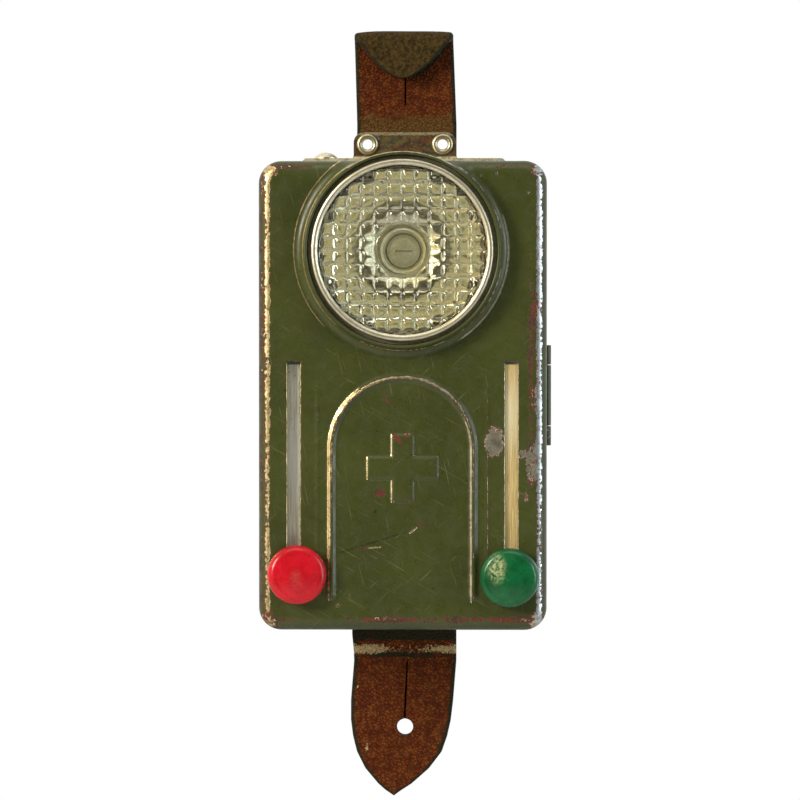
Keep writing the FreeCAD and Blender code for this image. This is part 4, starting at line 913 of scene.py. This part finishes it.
def reflector(mirror):
    """The bowl: a parabola inside and the same one a wall deeper outside, with a rolled lip and a neck."""
    neck, rim, wall = 5.45 * MM, 19.1 * MM, 0.4 * MM
    r = np.linspace(neck, rim, 40)
    depth = bowl_apex - bowl_depth * (r / bowl_r) ** 2
    inside = np.column_stack([r, depth])
    outside = np.column_stack([r + wall * 0.9, depth + wall])[::-1]
    lip = arc(19.7 * MM, bowl_mouth + 0.2 * MM, 0.2 * MM, -90, 90, 6)
    foot = bowl_apex + 3.6 * MM
    profile = np.concatenate([[[neck, foot]], inside, lip, outside, [[neck + wall, foot]]])
    skin = Skin().add(*turned(profile, (0.0, lens_z), 160, front=face_y), wrap_rows=True, wrap_cols=True)
    return skin.make("reflector_bowl", mirror, "case", "mirror", ["reflector"], crease=40)


def bulb(glass):
    """The bulb's globe: a hollow sphere at the focus of the bowl, open at the end of its straight neck."""
    ball, wall, neck = 5.4 * MM, 0.5 * MM, 4.2 * MM
    centre = bowl_apex - bowl_r ** 2 / (4 * bowl_depth)
    foot = 15.4 * MM
    turn = math.degrees(math.acos(neck / ball))
    inner_turn = math.degrees(math.acos((neck - wall) / (ball - wall)))
    profile = np.concatenate([arc(0, centre, ball, -90, turn, 22), [[neck, foot], [neck - wall, foot]],
                              arc(0, centre, ball - wall, inner_turn, -90, 22)])
    skin = Skin().add(*turned(profile, (0.0, lens_z), 72, front=face_y), wrap_cols=True)
    return skin.make("bulb_globe", glass, "case", "bulb_glass", ["bulb_glass"], crease=60)


def knob(side, name, node, material, body, slot_name, inwards, lift):
    """A push knob: straight side, rounded rim and shallow dome, turned and then leant to the middle."""
    r, tall, crown, rim = 7.15 * MM, 4.38 * MM, 0.70 * MM, 1.9 * MM
    gap, lean = 0.95 * MM, math.radians(7.0)
    flat = r - rim
    ball = (flat ** 2 + crown ** 2) / (2 * crown)
    dome_r = np.linspace(flat, 0, 14)[1:]
    dome = np.column_stack([dome_r, -tall + ball - np.sqrt(ball ** 2 - dome_r ** 2)])
    profile = np.concatenate([[[0.0, 0.0], [r - 0.45 * MM, 0.0]], arc(r - 0.35 * MM, -0.35 * MM, 0.35 * MM, 90, 0, 4),
                              arc(flat, -tall + crown + rim, rim, 0, -90, 12), dome])
    across, depth, up = turned(profile, (0.0, 0.0), 96)
    turn = -side * lean
    x = side * (slot_x - inwards * MM) + across * math.cos(turn) - depth * math.sin(turn)
    y = face_y - gap + across * math.sin(turn) + depth * math.cos(turn)
    skin = Skin().add(x, y, knob_z + lift * MM + up, wrap_cols=True)
    return skin.make(name, material, body, slot_name, [node], crease=50)


def eyelets(nickel):
    """Two rolled eyelets: a flange like half a doughnut in front and behind, with the bore between."""
    bore, flange, roll = 1.3 * MM, 2.7 * MM, 0.7 * MM
    front, back = strap_back - 3.0 * MM, strap_back
    middle, half = (bore + flange) / 2, (flange - bore) / 2
    a = np.linspace(np.pi, 0, 12)
    face = np.column_stack([middle + half * np.cos(a), front - roll * np.sin(a)])
    rear = np.column_stack([middle + half * np.cos(a[::-1]), back + roll * np.sin(a[::-1])])
    profile = np.concatenate([face, [[1.75 * MM, front], [1.75 * MM, back]], rear])
    skin = Skin()
    for x in (-eyelet_x, eyelet_x):
        skin.add(*turned(profile, (x, 0.0), 64, front=face_y), wrap_rows=True, wrap_cols=True)
    return skin.make("eyelet_pair", nickel, "case", "nickel", ["strap_eyelets"], crease=50)


def button(nickel):
    """The morse button: stem, straight head and a dome that is part of a ball."""
    x = (button_low.x + button_high.x) / 2
    y = (button_low.y + button_high.y) / 2
    head, dome, stem = 2.75 * MM, 1.2 * MM, 1.2 * MM
    rim = button_high.z - dome
    low = case_top + 1.2 * MM - 1.3 * MM
    ball = (head ** 2 + dome ** 2) / (2 * dome)
    r = np.linspace(head, 0, 14)
    cap = np.column_stack([r, button_high.z - ball + np.sqrt(ball ** 2 - r ** 2)])
    profile = np.concatenate([[[0.0, button_low.z], [stem, button_low.z], [stem, low], [head, low],
                               [head, rim - 0.2 * MM]], cap])
    skin = Skin().add(*turned(profile, (x, y), 64, axis="z"), wrap_cols=True)
    return skin.make("button_dome", nickel, "button", "nickel", ["morse_button"], crease=40)


def strap(hide):
    """The leather strap: a flat closed section carried up from the tip, round the fold and down the flap."""
    back, thick, inner, lower = strap_back, strap_thick, 0.8 * MM, 0.35 * MM
    bend_z = strap_high.z - inner - thick - lower
    front = back - thick
    run_z = spaced([-163.55 * MM, -161.0 * MM, -148.7 * MM, -143.7 * MM, -119.0 * MM, -6.0 * MM, 6.0 * MM, bend_z],
                   0.45 * MM)
    turn = np.radians(np.linspace(0, 180, 30))[1:]
    flap_z = np.linspace(bend_z, 16.52 * MM, 32)[1:]
    bow = thick / 2 + inner
    mid_d, fold_d = back - thick / 2, front - inner
    path_d = np.concatenate([np.full(run_z.size, mid_d), fold_d + bow * np.cos(turn),
                             np.full(flap_z.size, fold_d - bow)])
    path_z = np.concatenate([run_z, bend_z + bow * np.sin(turn), flap_z])
    in_front = path_d < fold_d + 0.2 * bow
    low, high = [np.where(in_front, flap_side(path_z / MM + 0.5 * in_front, side), strap_side(path_z / MM, side)) * MM
                 for side in (-1, 1)]
    slope_d, slope_z = np.gradient(path_d), np.gradient(path_z)
    size = np.hypot(slope_d, slope_z)
    nd, nz = (slope_z / size)[:, None], (-slope_d / size)[:, None]
    on_run = (np.arange(path_z.size) < run_z.size)[:, None]
    line = (low + high) / 2 + (slit_line(path_z) - (low + high) / 2) * smooth((path_z + 160 * MM) / (8 * MM))
    steps = np.concatenate([[0, 0.13, 0.26, 0.42], np.linspace(0.75, 12, 38)]) / 12
    x = np.concatenate([line[:, None] + (low - line)[:, None] * steps[None, :0:-1],
                        line[:, None] + (high - line)[:, None] * steps[None, :]], axis=1)
    z = path_z[:, None] + 0 * x
    middle_x, middle_z = (x[:-1, :-1] + x[1:, 1:]) / 2, (z[:-1, :-1] + z[1:, 1:]) / 2
    keep = np.ones(middle_x.shape, bool)
    for cx, cz, r in ((0.0, tab_hole_z, 2.05 * MM), (-eyelet_x, 0.0, 2.2 * MM), (eyelet_x, 0.0, 2.2 * MM)):
        gone = on_run[1:] & (np.hypot(middle_x - cx, middle_z - cz) < r)
        keep &= ~gone
        x, z = snapped(x, z, np.pad(gone, 1), cx, cz, r)
    inward = np.minimum(x - low[:, None], high[:, None] - x) / MM
    shoulder = np.clip(1 - inward / 0.8, 0, 1)
    half = thick / 2 * (0.55 + 0.42 * np.sqrt(1 - shoulder ** 2))
    wave = 0.12 * MM * np.sin(z / (7.3 * MM)) * np.sin(x / (5.9 * MM) + 1.0) * (np.abs(z + 60 * MM) > 62 * MM)
    away = np.abs(x - slit_line(z)) / MM
    wide = np.where(z < 0, 0.20 + 0.13 * smooth((-132 * MM - z) / (12 * MM)), 0.22)
    slit = smooth(1 - away / wide) * slit_reach(z) * on_run
    swell = 0.10 * MM * near(away, 0.6, 0.5) * slit_reach(z) * on_run
    lift = np.where(on_run, 0, smooth((bend_z - z) / (9 * MM)) * smooth((x + 4 * MM) / (12 * MM)) * 0.35 * MM)
    droop = 0.55 * MM * smooth((z - 20 * MM) / (8 * MM)) * np.abs((x - 0.5 * MM) / (12.5 * MM)) ** 4
    sheets = []
    for offset in (np.maximum(-half - swell, -thick / 2) + 1.6 * MM * slit + wave, half + wave):
        sheets.append((face_y + path_d[:, None] + nd * (offset + lift), z + nz * offset - droop))
    piece = Skin().slab(x, sheets[0][0], sheets[1][0], sheets[0][1], sheets[1][1], keep)
    piece = piece.make("strap_hide", hide, "case", "leather", ["leather_strap"], crease=60)
    strap_marks(piece, bend_z, front)
    return piece


def slit_line(z):
    """The X of the slits: the lower one leans a little to the right on its way up."""
    return np.where(z < 0, -0.10 * MM + (z + 144.2 * MM) * 0.045, 0.1 * MM)


def slit_reach(z):
    """How deep the slits are: from the hole up to the case, and from the flap's tip down towards the bracket."""
    lower = smooth((z + 144.3 * MM) / (0.3 * MM)) * smooth((-128.9 * MM - z) / (1.2 * MM))
    upper = smooth((z - 9.6 * MM) / (0.8 * MM)) * (z < 24.0 * MM)
    return np.maximum(lower, upper)


def strap_marks(piece, bend_z, front):
    """Edge, flesh, rub and dirt marks, worked out from each point's place and the side that it is on; the edge mark
    also holds painted shadows below the case, under the crease and beside the flap.
    """
    mesh = piece.data
    co = np.zeros(len(mesh.vertices) * 3)
    mesh.vertices.foreach_get("co", co)
    x, y, z = co.reshape(-1, 3).T / MM
    d = y - face_y / MM
    reach = np.minimum(x - strap_side(z, -1), strap_side(z, 1) - x)
    on_flap = (d < front / MM - 0.3) & (z > 14)
    flap_reach = np.minimum(x - flap_side(z + 0.5, -1), flap_side(z + 0.5, 1) - x)
    reach = np.where(on_flap & (z < bend_z / MM), flap_reach, reach)
    edge = np.maximum(smooth(1 - reach / 2.3), 0.55 * smooth((z - 27.4) / 1.0))
    # Painted shadow: a dark band on the tab just below the case, and a dark line along the lower side of the tab's
    # pale crease; none on the back.
    band = 0.95 * near(z, -128.1, 1.6) * np.interp(x, [-11, -7, 4, 9], [0.45, 1.0, 1.0, 0.7])
    band = np.maximum(band, smooth((z + 124.9) / 0.8) * smooth((-112.0 - z) / 4.0))
    band = np.where(d > front / MM + 1.5, 0.0, band)
    edge = np.maximum(edge, band)
    edge = np.maximum(edge, 0.7 * near(np.hypot(x, z - tab_hole_z / MM), 2.1, 0.9))
    flesh = np.where(on_flap | (d > front / MM + 1.5), 1.0, 0.0)
    ends = np.interp(x, [-13, -7, -4, 4, 7, 10, 13], [0.80, 0.76, 0.52, 0.48, 0.58, 0.74, 0.78])
    rub = near(z, -126.6, 2.9) * ends + 0.55 * near(np.hypot((x + 9.6) / 1.5, (z + 151.5) / 2.2), 0, 1.2)
    rub = np.maximum(rub, 0.50 * near(np.abs(x + 11.9), 0, 1.2) * near(z, -136, 6))
    dirt = np.maximum(0.22, 0.9 * smooth((12.0 - z) / 9.0) * smooth((z + 16.0) / 9.0))
    # Painted shadow on the strap to the right of the flap.
    beside = (z > 15.0) & (d > front / MM - 0.3) & (d < front / MM + 1.5)
    shade = near(x - flap_side(np.maximum(z + 0.7, 16.6), 1), 0, 2.0) * beside
    edge = np.maximum(edge, 0.8 * shade * (x > 1.0))
    edge = np.maximum(edge, 0.75 * near(np.hypot((x - 8.8) / 2.6, (z + 151.0) / 1.7), 0, 1.3))
    for name, values in (("edge", edge), ("flesh", flesh), ("rub", rub), ("dirt", dirt)):
        mark_points(mesh, name, values)


def floor():
    """A pale round floor well under the lamp, as a disc of rings."""
    radius, height, rings, spokes = 0.5, -0.25, 7, 96
    r = np.linspace(0, radius, rings)[:, None]
    a = np.linspace(0, 2 * np.pi, spokes, endpoint=False)[None, :]
    mesh = bpy.data.meshes.new("floor")
    points = np.column_stack([(r * np.cos(a)).ravel(), (r * np.sin(a)).ravel(), np.full(rings * spokes, height)])
    mesh.from_pydata(points.tolist(), [], weave(rings, spokes, wrap_cols=True)[:, ::-1].tolist())
    f = Finish("floor_paper")
    tone = f.mix(f.span(f.noise(60.0, 3.0), 0.35, 0.65), (0.78, 0.78, 0.77), (0.82, 0.82, 0.81))
    mesh.materials.append(f.set(Base_Color=tone, Roughness=0.8))
    piece = placed("floor", mesh)


def camera():
    """A long lens a little to the right of the lamp and above its middle, aimed near the middle of its face."""
    data = bpy.data.cameras.new("camera")
    data.lens = 167.2
    data.clip_end = 10.0
    away = 0.9
    bpy.context.scene.camera = placed("camera", data, (0.018, face_y - away, -0.045), (-0.0006, face_y, -0.0634))


def lamp(name, place, size, power, colour):
    """A soft rectangular light aimed at the middle of the lamp."""
    data = bpy.data.lights.new(name, "AREA")
    data.shape = "RECTANGLE"
    data.size, data.size_y = size
    data.energy = power
    data.color = colour
    placed(name, data, place, (0, 0, -0.06))


def studio():
    """White behind the lamp; for reflections the room dims towards the front, with warm left and cool right sides."""
    world = bpy.data.worlds.new("studio")
    bpy.context.scene.world = world
    world.use_nodes = True
    n = Nodes(world.node_tree)
    ray = n.add("ShaderNodeLightPath").outputs
    parts = n.add("ShaderNodeSeparateXYZ")
    n.put(parts.inputs[0], n.add("ShaderNodeTexCoord").outputs["Generated"])
    x, y, z = parts.outputs
    white = (1.0, 1.0, 1.0)
    tint = n.mix(n.span(x, -0.45, 0.45), (1.0, 0.86, 0.58), (0.80, 0.90, 1.0))
    ahead = n.span(y, -0.97, -0.55)
    gloss = n.mix(ahead, (0.060, 0.060, 0.045), (0.36, 0.36, 0.32))
    through = n.mix(ahead, (0.72, 0.68, 0.47), (1.90, 1.84, 1.45))
    front = n.mix(ray["Is Transmission Ray"], gloss, through)
    front = n.mix(n.span(y, -0.55, 0.30), front, white)
    floor_dim = n.mix(n.span(z, -0.75, -0.15), (0.45, 0.45, 0.40), white)
    room = n.mix(1.0, n.mix(1.0, tint, front, "MULTIPLY"), floor_dim, "MULTIPLY")
    room = n.mix(n.span(y, 0.30, 0.60), room, white)
    bounced = n.math("MAXIMUM", ray["Is Glossy Ray"], ray["Is Transmission Ray"])
    shown = n.mix(bounced, (0.27, 0.27, 0.27), room)
    background = world.node_tree.nodes["Background"]
    n.put(background.inputs["Color"], n.mix(ray["Is Camera Ray"], shown, white))
    n.put(background.inputs["Strength"], 1.0)


def dress(nodes, material):
    """Gives CAD nodes their finish."""
    for name in nodes.split():
        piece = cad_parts[name]
        piece.data.materials.clear()
        piece.data.materials.append(material)


paint = worn_paint("olive_paint_worn", True)
nickel = dull_metal("nickel_dull", (0.88, 0.82, 0.64), (0.50, 0.43, 0.27), 0.34, 0.50, 0.5)
eyelet_metal = dull_metal("eyelet_nickel", (0.66, 0.60, 0.42), (0.30, 0.26, 0.14), 0.30, 0.46, 0.6)
mirror = dull_metal("mirror_silver", (0.90, 0.88, 0.80), (0.70, 0.66, 0.52), 0.02, 0.08, 0.35)
steel = dull_metal("steel_plain", (0.56, 0.56, 0.54), (0.30, 0.29, 0.26), 0.25, 0.42, 0.4)
brass_plain = dull_metal("brass_plain", (0.72, 0.56, 0.28), (0.42, 0.28, 0.10), 0.22, 0.4, 0.5)
rail_brass = rail_metal("rail_brass", (0.90, 0.70, 0.33), (0.50, 0.36, 0.13), (1.0, 0.90, 0.58),
                        slot_x / MM + 1.1, -67.0, 0.55)
rail_tin = rail_metal("rail_tin", (0.98, 0.98, 0.86), (0.66, 0.63, 0.46), (1.0, 1.0, 0.92),
                      -slot_x / MM + 0.95, -78.0, 1.2)
tungsten = dull_metal("tungsten_wire", (0.32, 0.32, 0.34), (0.14, 0.14, 0.15), 0.3, 0.5)
hide = leather()
glass = clear_glass("lens_clear", (0.96, 0.97, 0.92), 0.02)
red = plastic("knob_red", (0.46, 0.0035, 0.0095), (0.60, 0.0050, 0.0150), (0.55, 0.16, 0.13),
              (-25.6, -106.6, 2.0, 0.30))
# The green knob's pale patch on its upper left is a painted highlight.
green = plastic("knob_green", (0.0020, 0.075, 0.020), (0.0030, 0.115, 0.033), (0.56, 0.55, 0.26),
                (22.9, -104.0, 2.9, 0.80))

front_cover(paint)
lens_bezel(nickel)
lens_glass(glass)
reflector(mirror)
bulb(clear_glass("bulb_clear", (0.97, 0.97, 0.95), 0.0))
knob(-1, "knob_left", "red_knob", red, "red_filter", "red_plastic", 0.7, 0.50)
knob(1, "knob_right", "green_knob", green, "green_filter", "green_plastic", 0.3, -0.15)
eyelets(eyelet_metal)
button(nickel)
strap(hide)
dress("back_case", worn_paint("olive_paint_back", False))
dress("strap_bracket bracket_rivets", bracket_metal())
dress("hinge_pin catch_spring reflector_carrier leaf_rivets board_rivets key_post", steel)
dress("filter_guide filter_divider", grained("tinned_sheet", (0.74, 0.71, 0.54), (0.50, 0.46, 0.32), 2.0, 0.4, 0.02))
dress("battery_tongues centre_contact key_contact key_blade battery_leaf button_bush", brass_plain)
dress("bulb_base bulb_socket", dull_metal("cap_nickel", (0.62, 0.60, 0.50), (0.36, 0.34, 0.26), 0.30, 0.48, 0.5))
dress("green_frame green_stem", rail_brass)
dress("red_frame red_stem", rail_tin)
dress("bulb_filament", tungsten)
dress("red_film", film("film_red", (0.80, 0.03, 0.04), (0.60, 0.02, 0.03)))
dress("green_film", film("film_green", (0.03, 0.55, 0.16), (0.02, 0.40, 0.11)))
dress("lens_gasket", grained("cork_ring", (0.50, 0.34, 0.19), (0.22, 0.13, 0.06), 0.9, 0.85))
dress("insulator_board", grained("fibre_brown", (0.22, 0.10, 0.045), (0.12, 0.05, 0.02), 1.4, 0.6))
dress("battery", grained("battery_paper", (0.12, 0.14, 0.20), (0.05, 0.06, 0.10), 3.0, 0.55))

floor()
camera()
lamp("light_left", (-0.80, -0.62, 0.30), (0.26, 0.42), 11.0, (1.0, 0.93, 0.80))
lamp("light_right", (0.85, -0.40, 0.05), (0.25, 0.70), 3.6, (0.86, 0.94, 1.0))
lamp("light_top", (0.05, -0.45, 0.90), (0.8, 0.5), 2.6, (1.0, 0.98, 0.94))
studio()
bpy.context.scene.view_settings.view_transform = "Standard"
